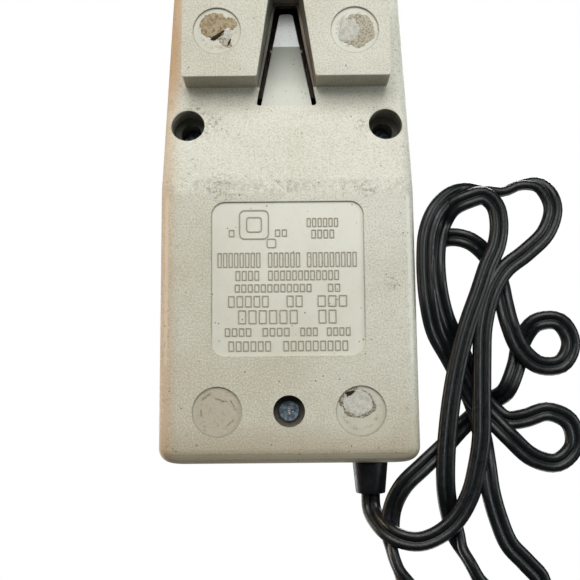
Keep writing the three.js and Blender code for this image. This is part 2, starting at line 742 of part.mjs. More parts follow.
// Frames that keep the flat cord's broad side level all the way along its route.
function levelFrames(path, steps) {
  const tangents = Array.from({ length: steps + 1 }, (_, i) => path.getTangentAt(i / steps));
  const normals = tangents.map((t) => new THREE.Vector3(0, 0, 1).cross(t).normalize());
  const binormals = tangents.map((t, i) => t.clone().cross(normals[i]));
  return { tangents, normals, binormals };
}

function cordAlong(route, steps) {
  const points = route.map((p) => new THREE.Vector3(...p));
  const path = new THREE.CatmullRomCurve3(points, false, "centripetal");
  path.computeFrenetFrames = (count) => levelFrames(path, count);
  const section = new THREE.Shape(
    ellipse(0, 0, CORD_WIDTH / 2, CORD_THICK / 2, 8).map(([x, y]) => new THREE.Vector2(x, y)),
  );
  return new THREE.ExtrudeGeometry(section, { steps, extrudePath: path, bevelEnabled: false });
}

function coilSolid() {
  const inner = COIL_R - CORD_WIDTH - GAP;
  const outer = COIL_R + CORD_WIDTH + GAP;
  const profile = [[inner, 0.05], [outer, 0.05], [outer, COIL_HEIGHT], [inner, COIL_HEIGHT], [inner, 0.05]];
  return new THREE.LatheGeometry(profile.map(([r, z]) => new THREE.Vector2(r, z)), 40)
    .rotateX(Math.PI / 2)
    .translate(COIL_CENTRE[0], COIL_CENTRE[1], 0);
}

function plugBody() {
  const rings = [[0, 6.5, 5.5], [6, 9, 7], [10, 12.5, 8], [24, 13, 8], [26, 12, 7]];
  return loft(rings.map(([d, rx, rz]) => ellipse(0, 8.2, rx, rz, 20).reverse()
    .map(([x, z]) => new THREE.Vector3(x, d, z))));
}

function plugBlade(side) {
  return block(side * 6.35 - 0.75, side * 6.35 + 0.75, 26.3, 42, 5.2, 11.4);
}

// ---------- materials ----------
function material(color, roughness, metalness, opacity = 1) {
  return new THREE.MeshStandardMaterial({
    color, roughness, metalness, opacity, transparent: opacity < 1, flatShading: true,
  });
}

const PUTTY = material(0xc9c2b0, 0.62, 0);
const BROWN = material(0x2e241e, 0.45, 0);
const SMOKE = material(0x4a3426, 0.2, 0, 0.6);
const BLACK = material(0x16181a, 0.5, 0);
const STEEL = material(0x8d949b, 0.35, 1);
const LAMINATION = material(0x5d5f63, 0.5, 1);
const COPPER = material(0x9a4f26, 0.35, 1);
const BRASS = material(0xb08d4a, 0.35, 1);
const NYLON = material(0xe6e2d6, 0.5, 0);
const GLUE = material(0xb9a888, 0.8, 0);

const object = new THREE.Group();
const slope = new THREE.Group();
slope.position.y = CREASE_Y;
slope.rotation.x = -SLOPE;
object.add(slope);

function piece(parent, name, geometry, look) {
  const mesh = new THREE.Mesh(geometry, look);
  mesh.name = name;
  parent.add(mesh);
  return mesh;
}

piece(object, "base_plate", basePlate(), PUTTY);
piece(object, "top_cover", topCover(), PUTTY);
piece(slope, "latch_tongue", latchTongue(), PUTTY);
piece(slope, "front_bezel", frontBezel(), BROWN);
piece(slope, "pencil_guide", pencilGuide(), BLACK);
piece(slope, "shavings_drawer", drawer(), SMOKE);
piece(object, "base_screw_left", screw(-WELL_X, WELL_Y, WELL_TOP - WELL_FLOOR - GAP), STEEL);
piece(object, "base_screw_right", screw(WELL_X, WELL_Y, WELL_TOP - WELL_FLOOR - GAP), STEEL);
piece(object, "base_screw_rear", screw(0, FOOT_REAR_Y, REAR_WELL_TOP - WELL_FLOOR - GAP), STEEL);
for (const { side, name, end, y } of footPlaces()) {
  piece(object, `foot_residue_${end}_${name}`, footResidue(side, y, 7.5), GLUE);
}
piece(slope, "motor_stator", stator(), LAMINATION);
piece(slope, "coil_bobbin", bobbin(), NYLON);
piece(slope, "coil_winding", winding(), COPPER);
piece(slope, "motor_bracket_front", motorBracket(1), STEEL);
piece(slope, "motor_bracket_rear", motorBracket(-1), STEEL);
piece(slope, "bearing_front", bearing(1), BRASS);
piece(slope, "bearing_rear", bearing(-1), BRASS);
piece(slope, "motor_rotor", rotor(), STEEL);
piece(slope, "cluster_gear", clusterGear(), NYLON);
piece(slope, "cluster_pin", rod(CLUSTER_X, CLUSTER_H, 32, 60.4, 1.5, 16), STEEL);
piece(slope, "cutter_carrier", cutterCarrier(), LAMINATION);
piece(slope, "ring_gear", ringGear(), LAMINATION);
piece(slope, "gear_plate", gearPlate(), STEEL);
for (const [name, side] of [["left", -1], ["right", 1]]) {
  piece(slope, `cutter_${name}`, cutter(side), STEEL);
  piece(slope, `cutter_pin_${name}`, cutterPin(side), STEEL);
  piece(slope, `gear_post_${name}`, rod(side * 26, PENCIL_H + 18, 35.7, 56.9, 2.4, 16), STEEL);
}
piece(slope, "pencil_switch", pencilSwitch(), BLACK);
piece(slope, "switch_lever", switchLever(), BRASS);
piece(slope, "drawer_switch", drawerSwitch(), BLACK);
piece(slope, "drawer_plunger", drawerPlunger(), NYLON);
piece(object, "strain_relief", strainRelief(), BLACK);
piece(object, "cord_tube", cordAlong(CORD_ROUTE, CORD_STEPS), BLACK);
piece(object, "cord_tail", cordAlong(TAIL_ROUTE, 4), BLACK);
piece(object, "cord_coil", coilSolid(), BLACK);

const plug = new THREE.Group();
plug.position.set(-33.4, 200.7, 0);
plug.rotation.z = THREE.MathUtils.degToRad(150);
object.add(plug);
piece(plug, "cord_plug", plugBody(), BLACK);
piece(plug, "plug_blade_left", plugBlade(-1), BRASS);
piece(plug, "plug_blade_right", plugBlade(1), BRASS);

export default object;
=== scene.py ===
"""A desk electric pencil sharpener, seen from below, on a pale stage."""
import json
import math
import random

import bmesh
import bpy
from mathutils import Matrix, Vector


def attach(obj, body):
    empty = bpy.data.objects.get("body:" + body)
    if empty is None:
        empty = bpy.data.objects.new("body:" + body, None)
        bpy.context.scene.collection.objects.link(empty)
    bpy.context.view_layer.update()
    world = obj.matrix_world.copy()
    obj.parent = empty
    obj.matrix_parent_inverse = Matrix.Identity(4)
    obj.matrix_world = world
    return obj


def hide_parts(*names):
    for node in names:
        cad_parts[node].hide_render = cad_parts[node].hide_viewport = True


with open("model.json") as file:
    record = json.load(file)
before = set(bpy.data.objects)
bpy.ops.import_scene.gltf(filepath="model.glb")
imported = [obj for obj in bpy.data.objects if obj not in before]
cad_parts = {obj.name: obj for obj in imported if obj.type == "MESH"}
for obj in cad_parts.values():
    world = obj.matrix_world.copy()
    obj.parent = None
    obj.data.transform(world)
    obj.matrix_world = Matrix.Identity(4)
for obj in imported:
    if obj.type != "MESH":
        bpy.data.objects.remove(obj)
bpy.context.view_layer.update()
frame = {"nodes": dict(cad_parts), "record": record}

MM = 0.001

# ---------- driving dimensions, in millimetres ----------
HALF_LENGTH = 105
HALF_WIDTH_REAR = 50.4
SIDE_TAPER = 0.0054
CREASE_Y = -1.7
CREASE_BEND = 3.4
SLOPE_TAN = 0.32
SLOPE = math.atan(SLOPE_TAN)
WALL = 2.6
EDGE_R = 5.5
CORNER_R = 6
TRAY_HEIGHT = 18
TOP_REAR = 84
TOP_RISE = 20
TOP_EDGE_R = 12
SIDE_LEAN = 2.5
FRONT_S = 108.4
PAD_OUTER_X = 41.85
PAD_INNER_X = 11.85
PAD_NARROWING = 0.152
PAD_REAR_Y = -47.5
PAD_FRONT_Y = -92
BRIDGE_Y = -89.6
BRIDGE_Z = 16
FOOT_X = 27.6
FOOT_REAR_Y = 85
FOOT_FRONT_Y = -66.2
FOOT_R = 9.525
FOOT_DEPTH = 0.8
LABEL_X = 29.7
LABEL_Y0 = 3.5
LABEL_Y1 = 64
LABEL_CORNER = 5.3
LABEL_DEPTH = 0.7
WELL_X = 40.1
WELL_Y = -29.8
WELL_R = 6.8
REAR_WELL_R = 6.1
WELL_STEP = 22
WELL_NECK_R = 4.3
WELL_TOP = 38
REAR_WELL_TOP = 13
WELL_FLOOR = 3
TONGUE_ROOT_Y = -39
TONGUE_CREST_Y = -67.2
TONGUE_TIP_Y = -87.7
TONGUE_ROOT_HALF = 10.5
TONGUE_CREST_HALF = 5.75
TONGUE_TIP_HALF = 2.86
TONGUE_T = 2.2
TONGUE_RISE = 4.5
SLOT = 2
PAD_CORNER = 1.1
SCREW_BORE_R = 2.1
BOSS_R = 4.4
TIP_SLOT = 1.2
PENCIL_H = 56
PENCIL_R = 4.6
GUIDE_HOLE_R = 10.4
MARK_STROKE = 0.42
CORD_WIDTH = 7.4
CORD_THICK = 3.9
CORD_X = 31.8
CORD_Z = 14
COIL_CENTRE = (22, 203)
COIL_R = 44
COIL_END = (-29.8, 206.9)
PLUG_END = (-33.4, 200.7)
PLUG_Z = 8.2
PLUG_LENGTH = 26
CORD_REST = 2.15


# ---------- camera ----------
def make_camera():
    """The view from below, with the front of the sharpener at the top of the picture."""
    tilt, roll, turn = (math.radians(a) for a in (-5.77, 0.11, -0.53))
    seen = Matrix.Rotation(turn, 3, "Z") @ Matrix.Rotation(roll, 3, "Y") @ Matrix.Rotation(tilt, 3, "X")
    right, down, ahead = seen.transposed().col
    camera = bpy.data.objects.new("camera", bpy.data.cameras.new("camera"))
    bpy.context.scene.collection.objects.link(camera)
    axes = Matrix((right, -down, -ahead)).transposed()
    camera.matrix_world = Matrix.Translation(Vector((1.40, 72.36, -336.38)) * MM) @ axes.to_4x4()
    camera.data.lens = 54.12
    camera.data.sensor_width = 36
    camera.data.clip_start = 0.01
    bpy.context.scene.camera = camera


# ---------- small mesh tools ----------
def new_object(name, mesh):
    obj = bpy.data.objects.new(name, mesh)
    bpy.context.scene.collection.objects.link(obj)
    return obj


def mesh_of(name, verts, faces):
    mesh = bpy.data.meshes.new(name)
    mesh.from_pydata([tuple(c * MM for c in v) for v in verts], [], faces)
    mesh.validate()
    return new_object(name, mesh)


def outward(obj):
    bm = bmesh.new()
    bm.from_mesh(obj.data)
    bmesh.ops.recalc_face_normals(bm, faces=bm.faces)
    bm.to_mesh(obj.data)
    bm.free()
    return obj


def loft(name, rings, closed=False):
    """A skin through rings of equal point count, capped unless it closes on itself."""
    count = len(rings[0])
    verts = [v for ring in rings for v in ring]
    faces = []
    spans = len(rings) if closed else len(rings) - 1
    for k in range(spans):
        a = k * count
        b = ((k + 1) % len(rings)) * count
        for i in range(count):
            j = (i + 1) % count
            faces.append((a + i, a + j, b + j, b + i))
    if not closed:
        faces.append(tuple(range(count))[::-1])
        faces.append(tuple(range((len(rings) - 1) * count, len(rings) * count)))
    return outward(mesh_of(name, verts, faces))


def prism(name, outline, z0, z1):
    return loft(name, [[(x, y, z) for x, y in outline] for z in (z0, z1)])


def lathe(name, profile):
    """A ring turned about the pencil's axis; its profile is (radius, y) pairs and closes on itself."""
    turns = [2 * math.pi * k / 96 for k in range(96)]
    rings = [[(r * math.cos(a), y, PENCIL_H + r * math.sin(a)) for r, y in profile] for a in turns]
    return loft(name, rings, closed=True)


def cylinder(name, x, y, z0, z1, r, sides=64):
    outline = [(x + r * math.cos(2 * math.pi * i / sides), y + r * math.sin(2 * math.pi * i / sides))
               for i in range(sides)]
    return prism(name, outline, z0, z1)


def box(name, x0, x1, y0, y1, z0, z1):
    return prism(name, [(x0, y0), (x1, y0), (x1, y1), (x0, y1)], z0, z1)


def rounded_rectangle(x0, x1, y0, y1, r, steps=10):
    points = []
    corners = ((x1 - r, y1 - r, 0), (x0 + r, y1 - r, 90), (x0 + r, y0 + r, 180), (x1 - r, y0 + r, 270))
    for cx, cy, start in corners:
        for i in range(steps + 1):
            a = math.radians(start + 90 * i / steps)
            points.append((cx + r * math.cos(a), cy + r * math.sin(a)))
    return points


def combine(base, tool, operation):
    modifier = base.modifiers.new("combine", "BOOLEAN")
    modifier.operation = operation
    modifier.solver = "MANIFOLD"
    modifier.object = tool
    settle(base)
    bpy.data.objects.remove(tool)
    return base


def settle(obj):
    """Applies an object's modifiers to its mesh."""
    depsgraph = bpy.context.evaluated_depsgraph_get()
    done = bpy.data.meshes.new_from_object(obj.evaluated_get(depsgraph))
    obj.modifiers.clear()
    obj.data = done


def cut(base, *tools):
    for tool in tools:
        combine(base, tool, "DIFFERENCE")
    return base


def join(base, *tools):
    for tool in tools:
        combine(base, tool, "UNION")
    return base


def common(base, tool):
    return combine(base, tool, "INTERSECT")


TO_SLOPE = Matrix.Translation((0, CREASE_Y * MM, 0)) @ Matrix.Rotation(-SLOPE, 4, "X")


def sloped(obj):
    """Takes a piece built in the slope's frame, where -Y runs forward, to the row frame."""
    obj.data.transform(TO_SLOPE)
    return obj


def soften(obj, width, skip=None):
    """Rounds the crisp edges of a finished solid, apart from those to skip, and smooths its shading."""
    bm = bmesh.new()
    bm.from_mesh(obj.data)
    bmesh.ops.remove_doubles(bm, verts=bm.verts, dist=0.00002)
    bmesh.ops.dissolve_limit(bm, angle_limit=math.radians(0.4), verts=bm.verts, edges=bm.edges)
    weight = bm.edges.layers.float.new("bevel_weight_edge")
    for edge in bm.edges:
        if len(edge.link_faces) == 2 and edge.calc_face_angle(0) > math.radians(15):
            if not (skip and all(skip(v.co) for v in edge.verts)):
                edge[weight] = 1
    bm.to_mesh(obj.data)
    bm.free()
    modifier = obj.modifiers.new("edges", "BEVEL")
    modifier.width = width * MM
    modifier.segments = 3
    modifier.limit_method = "WEIGHT"
    settle(obj)
    smooth(obj)
    return obj


def smooth(obj, angle=32):
    obj.data.shade_smooth()
    obj.data.set_sharp_from_angle(angle=math.radians(angle))
    modifier = obj.modifiers.new("shading", "WEIGHTED_NORMAL")
    modifier.keep_sharp = True
    modifier.weight = 80
    settle(obj)


def dress(obj, material, body, slot, *nodes):
    obj.data.materials.clear()
    obj.data.materials.append(material)
    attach(obj, body)
    if nodes:
        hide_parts(*nodes)
    return obj


# ---------- cord ----------
# The same route as the solid cord's, in millimetres.
CORD_ROUTE = [
    (31.8, 117.6, 14), (31.8, 120.9, 14), (32.1, 124, 13.2), (34, 127.8, 9.2), (37.6, 131.4, 5),
    (43, 133.8, 2.7), (49.5, 134.4, 2.15), (56.8, 131.7, 2.15), (63.3, 126.2, 2.15), (68.8, 116.9, 2.15),
    (71.7, 106.8, 2.15), (73.6, 96.2, 2.15), (74.1, 86, 2.15), (74.4, 75.3, 2.15), (74.8, 64.9, 2.15),
    (75.5, 54.1, 2.15), (77.7, 44.4, 2.15), (80.7, 37, 2.15), (85.2, 30.5, 2.15), (93.4, 24.2, 2.15),
    (101.5, 16.2, 2.15), (104.5, 6, 2.15), (99.8, -2.6, 2.15), (91.9, -2.8, 2.15), (86, -0.6, 3.4),
    (80, -1.6, 6.2), (72.1, -2, 6.4), (64.3, 1.3, 5), (58.2, 7.8, 2.4), (54.9, 16.2, 2.2),
    (54, 25.4, 2.2), (54, 34.7, 2.2), (54.8, 44.1, 2.2), (57.4, 55, 4.4), (62.8, 64.7, 6.4),
    (68, 74.5, 6.4), (73.6, 83.1, 6.4), (79.2, 89.6, 4.5), (84.5, 95.6, 2.15), (93, 103.3, 2.15),
    (102.5, 105.3, 2.15), (109, 99, 2.15), (107.6, 90, 2.15), (99.5, 86, 2.15), (91, 88.6, 4),
    (84.6, 89.2, 6.4), (79.1, 84.6, 8.4), (74.2, 78.4, 8.5), (70.2, 68.2, 8.5), (66.4, 58.8, 8),
    (61.8, 50.2, 5), (58.9, 39.8, 2.5), (58, 29.3, 2.15), (58.9, 20.3, 4), (61.5, 11.9, 6.4),
    (65.2, 5.9, 4), (71.2, 3, 2.15), (77.5, 1.6, 2.15), (81.7, 5.3, 2.15), (83.1, 12.1, 2.15),
    (82, 20.8, 2.15), (78.2, 29.5, 2.15), (74.4, 40, 2.15), (70.2, 50.9, 2.15), (66.3, 63.7, 2.15),
    (63.2, 77.5, 2.15), (61.1, 90.8, 2.15), (59.8, 103.3, 2.15), (59.7, 115.1, 3), (61.5, 124.9, 6),
    (64.6, 136, 5), (68.2, 142.8, 2.15), (73.6, 152, 2.15), (82, 158.6, 2.15), (92.2, 157.2, 2.15),
    (94.6, 149.5, 2.15), (89.2, 142.6, 2.15), (83, 135.8, 2.15), (79.3, 126.7, 2.15), (76.6, 116.2, 2.15),
    (75.7, 106.2, 3.5), (75.1, 96.9, 6.4), (73.6, 86.3, 10.4), (69.8, 75.3, 11.5), (65.1, 64.6, 10.6),
    (59.8, 54, 8.4), (56.2, 43.8, 6.6), (55, 35.1, 6.4), (55.6, 27.1, 6.8), (57.9, 20.9, 8.6),
    (61.7, 17.6, 8.6), (66.5, 17.2, 6.4), (72.1, 19, 5), (77.8, 23.3, 6.4), (81.6, 28.9, 6.4),
    (83.7, 36.1, 6.2), (84.5, 43.9, 4), (86, 52.6, 2.15), (89.6, 61.6, 2.15), (96.6, 68, 2.15),
    (105.5, 67.6, 2.15), (109.4, 59.6, 2.15), (105, 51.4, 2.15), (96.4, 51.8, 3.5), (91.4, 59.1, 6.4),
    (88.6, 68.5, 5), (84.3, 78.1, 5), (80.7, 81.7, 11), (75, 86.8, 14.5), (67.8, 92.5, 12), (60, 99.4, 7),
    (51.8, 106.4, 5.2), (43.6, 114.2, 5.4), (39.6, 123, 8.2), (38.6, 132.2, 8.2), (39.6, 141, 4.5),
    (43.6, 150, 2.3), (49.2, 158.4, 2.2),
]
CORD_STEP = 1.9
# Places where the flat cord stands on edge, how far each way it does, and how steeply.
ON_EDGE = [((86, -0.6, 3.4), 17), ((68.2, 142.8, 2.15), 13), ((39.6, 141, 4.5), 11)]
EDGE_ROLL = math.radians(80)
TAIL_ROUTE = [(*COIL_END, 6.3), (-31.4, 204.2, 7.2), (-33, 201.4, 8.2)]


def ease(t):
    t = min(1, max(0, t))
    return t * t * (3 - 2 * t)


def coil_route():
    """The wound-up turns: an outer turn, an inner one beside it, and the rest lying on those two."""
    cx, cy = COIL_CENTRE
    entry_x, entry_y = CORD_ROUTE[-1][0] - cx, CORD_ROUTE[-1][1] - cy
    leave_x, leave_y = COIL_END[0] - cx, COIL_END[1] - cy
    start = math.degrees(math.atan2(entry_y, entry_x))
    finish = math.degrees(math.atan2(leave_y, leave_x)) + 720
    entry_r, leave_r = math.hypot(entry_x, entry_y), math.hypot(leave_x, leave_y)
    points = []
    steps = 66
    for k in range(1, steps):
        turned = (finish - start) * k / steps
        left = finish - start - turned
        radius = entry_r - (entry_r - COIL_R) * ease(turned / 32)
        radius -= 7.7 * ease((turned - 350) / 42)
        radius += 3.7 * ease((turned - 716) / 40)
        radius += (leave_r - COIL_R + 4) * ease(1 - left / 46)
        height = CORD_REST + 3.95 * ease((turned - 664) / 52) + 0.2 * ease(1 - left / 30)
        a = math.radians(start + turned)
        points.append((cx + radius * math.cos(a), cy + radius * math.sin(a), height))
    return points


def spline(points, spacing):
    """Evenly spaced points on a centripetal Catmull-Rom curve."""
    nodes = [Vector(p) for p in points]
    nodes = [nodes[0] * 2 - nodes[1]] + nodes + [nodes[-1] * 2 - nodes[-2]]
    dense = []
    for k in range(1, len(nodes) - 2):
        p = nodes[k - 1:k + 3]
        t = [0.0]
        for a, b in zip(p, p[1:]):
            t.append(t[-1] + max(1e-4, (b - a).length) ** 0.5)
        for i in range(12):
            u = t[1] + (t[2] - t[1]) * i / 12
            a = [p[j].lerp(p[j + 1], (u - t[j]) / (t[j + 1] - t[j])) for j in range(3)]
            b = [a[j].lerp(a[j + 1], (u - t[j]) / (t[j + 2] - t[j])) for j in range(2)]
            dense.append(b[0].lerp(b[1], (u - t[1]) / (t[2] - t[1])))
    dense.append(nodes[-2])
    lengths = [0.0]
    for a, b in zip(dense, dense[1:]):
        lengths.append(lengths[-1] + (b - a).length)
    count = max(2, round(lengths[-1] / spacing))
    result = []
    at = 0
    for k in range(count + 1):
        want = lengths[-1] * k / count
        while at < len(dense) - 2 and lengths[at + 1] < want:
            at += 1
        span = lengths[at + 1] - lengths[at]
        result.append(dense[at].lerp(dense[at + 1], (want - lengths[at]) / span))
    return result


def twin_section():
    """Half the width is two round cores; the web between them leaves a groove along each face."""
    core = CORD_THICK / 2
    offset = CORD_WIDTH / 2 - core
    half = []
    steps = 16
    for i in range(steps + 1):
        a = math.radians(-147 + 294 * i / steps)
        half.append((offset + core * math.cos(a), core * math.sin(a)))
    half = [(max(x, 0.12), z) for x, z in half]
    return half + [(-x, -z) for x, z in half]


def sweep(name, path, section, rolls):
    """A tube of that section along a path, its broad side rolled from level by each point's angle."""
    rings = []
    for k, p in enumerate(path):
        ahead = (path[min(k + 1, len(path) - 1)] - path[max(k - 1, 0)]).normalized()
        side = Vector((0, 0, 1)).cross(ahead).normalized()
        side = Matrix.Rotation(rolls[k], 3, ahead) @ side
        up = ahead.cross(side)
        rings.append([p + side * x + up * z for x, z in section])
    return loft(name, rings)


def cord_line():
    """The cord's middle line and its roll at each point, raised where it stands on edge."""
    points = [(CORD_X, 113, CORD_Z)] + CORD_ROUTE + coil_route() + TAIL_ROUTE
    line = spline(points, CORD_STEP)
    rolls = [0.0] * len(line)
    for place, reach in ON_EDGE:
        middle = min(range(len(line)), key=lambda k: (line[k] - Vector(place)).length)
        for k in range(len(line)):
            share = ease(1.3 - abs(k - middle) * CORD_STEP / reach)
            rolls[k] = max(rolls[k], EDGE_ROLL * share)
    lift = (CORD_WIDTH - CORD_THICK) / 2
    return [p + Vector((0, 0, lift * math.sin(a))) for p, a in zip(line, rolls)], rolls


# ---------- materials ----------
class Look:
    """A procedural material, its patterns laid out in the row frame in millimetres."""

    def __init__(self, name, base, roughness=0.5, metallic=0.0, specular=0.5):
        self.material = bpy.data.materials.new(name)
        self.material.use_nodes = True
        self.tree = self.material.node_tree
        self.shader = self.tree.nodes["Principled BSDF"]
        self.shader.inputs["Roughness"].default_value = roughness
        self.shader.inputs["Metallic"].default_value = metallic
        self.shader.inputs["Specular IOR Level"].default_value = specular
        self.place = self.node("ShaderNodeTexCoord").outputs["Object"]
        self.body = tone(*base)
        self.normal = None

    def node(self, kind, **settings):
        made = self.tree.nodes.new(kind)
        for key, value in settings.items():
            setattr(made, key, value)
        return made

    def feed(self, socket, value):
        if isinstance(value, bpy.types.NodeSocket):
            self.tree.links.new(value, socket)
        else:
            socket.default_value = value

    def maths(self, operation, a, b=0.0):
        made = self.node("ShaderNodeMath", operation=operation)
        self.feed(made.inputs[0], a)
        self.feed(made.inputs[1], b)
        return made.outputs[0]

    def plus(self, a, b):
        return self.maths("ADD", a, b)

    def minus(self, a, b):
        return self.maths("SUBTRACT", a, b)

    def times(self, first, *others):
        for other in others:
            first = self.maths("MULTIPLY", first, other)
        return first

    def apart(self, a, b):
        """How far apart two values are."""
        return self.maths("ABSOLUTE", self.minus(a, b))

    def reach(self, a, b):
        """The length of the plane vector (a, b)."""
        return self.maths("SQRT", self.plus(self.times(a, a), self.times(b, b)))

    def span(self, value, low, high, out_low=0.0, out_high=1.0):
        """Eases from out_low to out_high as the value runs from low to high."""
        made = self.node("ShaderNodeMapRange", interpolation_type="SMOOTHSTEP")
        for socket, number in zip(made.inputs, (value, low, high, out_low, out_high)):
            self.feed(socket, number)
        return made.outputs[0]

    def under(self, value, low, high, amount=1.0):
        """That amount below low, and nothing above high."""
        return self.span(value, low, high, amount, 0.0)

    def axis(self, name):
        made = self.node("ShaderNodeSeparateXYZ")
        self.feed(made.inputs[0], self.place)
        return self.times(made.outputs[name], 1 / MM)

    def noise(self, size, detail, roughness=0.5, stretch=(1, 1, 1)):
        """Noise whose features are about size millimetres across."""
        scaled = self.node("ShaderNodeVectorMath", operation="MULTIPLY")
        self.feed(scaled.inputs[0], self.place)
        scaled.inputs[1].default_value = stretch
        made = self.node("ShaderNodeTexNoise")
        self.feed(made.inputs["Vector"], scaled.outputs[0])
        made.inputs["Scale"].default_value = 1 / (size * MM)
        made.inputs["Detail"].default_value = detail
        made.inputs["Roughness"].default_value = roughness
        return made.outputs["Fac"]

    def specks(self, pitch, low, high, patch_size, amount):
        """Scattered specks, one to a cell of that pitch, shown only in some patches."""
        made = self.node("ShaderNodeTexVoronoi", feature="F1")
        self.feed(made.inputs["Vector"], self.place)
        made.inputs["Scale"].default_value = 1 / (pitch * MM)
        speck = self.under(made.outputs["Distance"], low, high)
        return self.times(speck, self.span(self.noise(patch_size, 2), 0.50, 0.56, 0.0, amount))

    def mix(self, factor, a, b):
        made = self.node("ShaderNodeMix", data_type="RGBA", blend_type="MIX")
        self.feed(made.inputs[0], factor)
        for socket, value in ((made.inputs[6], a), (made.inputs[7], b)):
            self.feed(socket, (*value, 1) if isinstance(value, tuple) else value)
        return made.outputs[2]

    def stain(self, colour, *masks):
        """Works a colour into the body where every mask is full."""
        colour = tone(*colour) if isinstance(colour, tuple) else colour
        self.body = self.mix(self.times(*masks), self.body, colour)

    def gloss(self, value):
        self.feed(self.shader.inputs["Roughness"], value)

    def bump(self, height, distance, strength=1.0):
        """Relief of that many millimetres for a height that runs from 0 to 1."""
        made = self.node("ShaderNodeBump")
        made.inputs["Strength"].default_value = strength
        made.inputs["Distance"].default_value = distance * MM
        self.feed(made.inputs["Height"], height)
        if self.normal:
            self.feed(made.inputs["Normal"], self.normal)
        self.normal = made.outputs[0]

    def done(self):
        self.feed(self.shader.inputs["Base Color"], self.body)
        if self.normal:
            self.feed(self.shader.inputs["Normal"], self.normal)
        return self.material


def tone(red, green, blue):
    """A display colour, 0 to 255, as linear light."""
    return tuple(c / 12.92 if c <= 0.04045 else ((c + 0.055) / 1.055) ** 2.4
                 for c in (red / 255, green / 255, blue / 255))


class HousingLook(Look):
    """The housing's plastic, which knows how a point lies to the parts of the underside."""

    def __init__(self, name):
        super().__init__(name, (213, 213, 201), roughness=0.55, specular=0.35)
        self.x, self.y, self.z = (self.axis(axis) for axis in "XYZ")
        self.across = self.maths("ABSOLUTE", self.x)
        self.behind = self.minus(self.y, CREASE_Y)
        rise = self.times(self.maths("MINIMUM", self.behind, 0.0), -SLOPE_TAN)
        self.depth = self.minus(self.z, rise)
        self.underside = self.under(self.depth, 6, 10)
        self.pebble = self.noise(0.62, 2, 0.55)
        # The label panel and the foot seats are polished, and lie at one small depth.
        off_crease = self.span(self.apart(self.y, CREASE_Y - 5.3), 5.8, 6)
        self.polished = self.times(self.span(self.z, 0.3, 0.5), self.under(self.z, 1.1, 1.3), off_crease)
        self.grain = self.minus(1.0, self.polished)
        middle = (FOOT_REAR_Y + FOOT_FRONT_Y) / 2
        along = self.apart(self.y, middle)
        self.from_seat = self.reach(self.minus(self.across, FOOT_X), self.minus(along, FOOT_REAR_Y - middle))

    def distance(self, x, y):
        return self.reach(self.minus(self.x, x), self.minus(self.y, y))


def yellowing_shade_and_grain(look):
    """Clean at the front and darker and yellower towards the rear, the left and on the legs, partly real
    yellowing and partly painted shade; with a pebble grain.
    """
    # Partly painted shade: darker and yellower towards the rear, to the left and on the legs, where the
    # light falls weaker, mixed with real yellowing and random tone.
    yellowing_and_shade = look.span(look.y, -30, 80, 0.0, 0.9)
    yellowing_and_shade = look.plus(yellowing_and_shade, look.span(look.noise(38, 3), 0.3, 0.7, -0.25, 0.25))
    yellowing_and_shade = look.plus(yellowing_and_shade, look.span(look.x, -30, 30, 0.18, -0.22))
    yellowing_and_shade = look.plus(yellowing_and_shade, look.under(look.depth, -1.2, -0.6, 0.45))
    yellowing_and_shade = look.plus(yellowing_and_shade, look.span(look.noise(7, 4, 0.6), 0.35, 0.7, -0.1, 0.14))
    look.stain((192, 187, 170), look.maths("MINIMUM", look.maths("MAXIMUM", yellowing_and_shade, 0.0), 1.0))
    look.stain((140, 132, 110), look.span(look.pebble, 0.50, 0.66, 0.0, 0.34), look.grain)
    look.stain((240, 239, 228), look.span(look.pebble, 0.50, 0.34, 0.0, 0.30), look.grain)
    panel = look.times(look.span(look.y, 0, 2), look.under(look.y, LABEL_Y1 + 2, LABEL_Y1 + 4, 0.34))
    look.stain((236, 236, 226), panel, look.polished)


def crease_grime(look):
    """Grime that gathers along the crease, and fades over a centimetre."""
    line = look.times(look.span(look.behind, -4.8, -3.0), look.under(look.behind, -2, 7))
    ragged = look.span(look.noise(2.6, 5, 0.78), 0.42, 0.68, 0.0, 0.40)
    look.stain((112, 105, 88), line, ragged, look.under(look.depth, 1, 4))


def warm_lit_flank_and_rear_edge(look):
    """A painted warm reflection on the left flank, strongest towards the front, and a darker brown tone
    along the rear edge.
    """
    flank = look.times(look.span(look.x, -41.5, -47), look.span(look.y, -56, -30, 0.66, 0.30))
    # Painted reflection of warm light on the left flank.
    look.stain((178, 140, 98), flank, look.underside)
    look.stain((150, 132, 100), look.span(look.y, 86, 105, 0.0, 0.58))


def painted_leg_shade(look):
    """Painted shade on the rear walls of the legs, darkest in the notch between them, where it is grey on
    the left and warm brown on the right as a painted reflection.
    """
    wall = look.under(look.apart(look.y, PAD_REAR_Y), 0.4, 0.7, 0.52)
    # Painted shade on the rear walls of the legs, which face away from the light.
    look.stain((90, 84, 64), wall, look.span(look.z, 0.2, 1.6), look.under(look.depth, -0.8, -0.3))
    notch = look.times(look.under(look.across, 11.8, 12.2), look.under(look.y, -47.8, -47.4),
                       look.span(look.y, -91.4, -91.0), look.under(look.depth, 0.6, 1.2))
    # Painted shade in the notch, with a painted warm reflection on its right.
    notch_shade = look.mix(look.span(look.x, -2, 2), tone(62, 61, 52), tone(104, 78, 54))
    look.stain(notch_shade, notch, look.span(look.z, 0.4, 4, 0.0, 0.72))


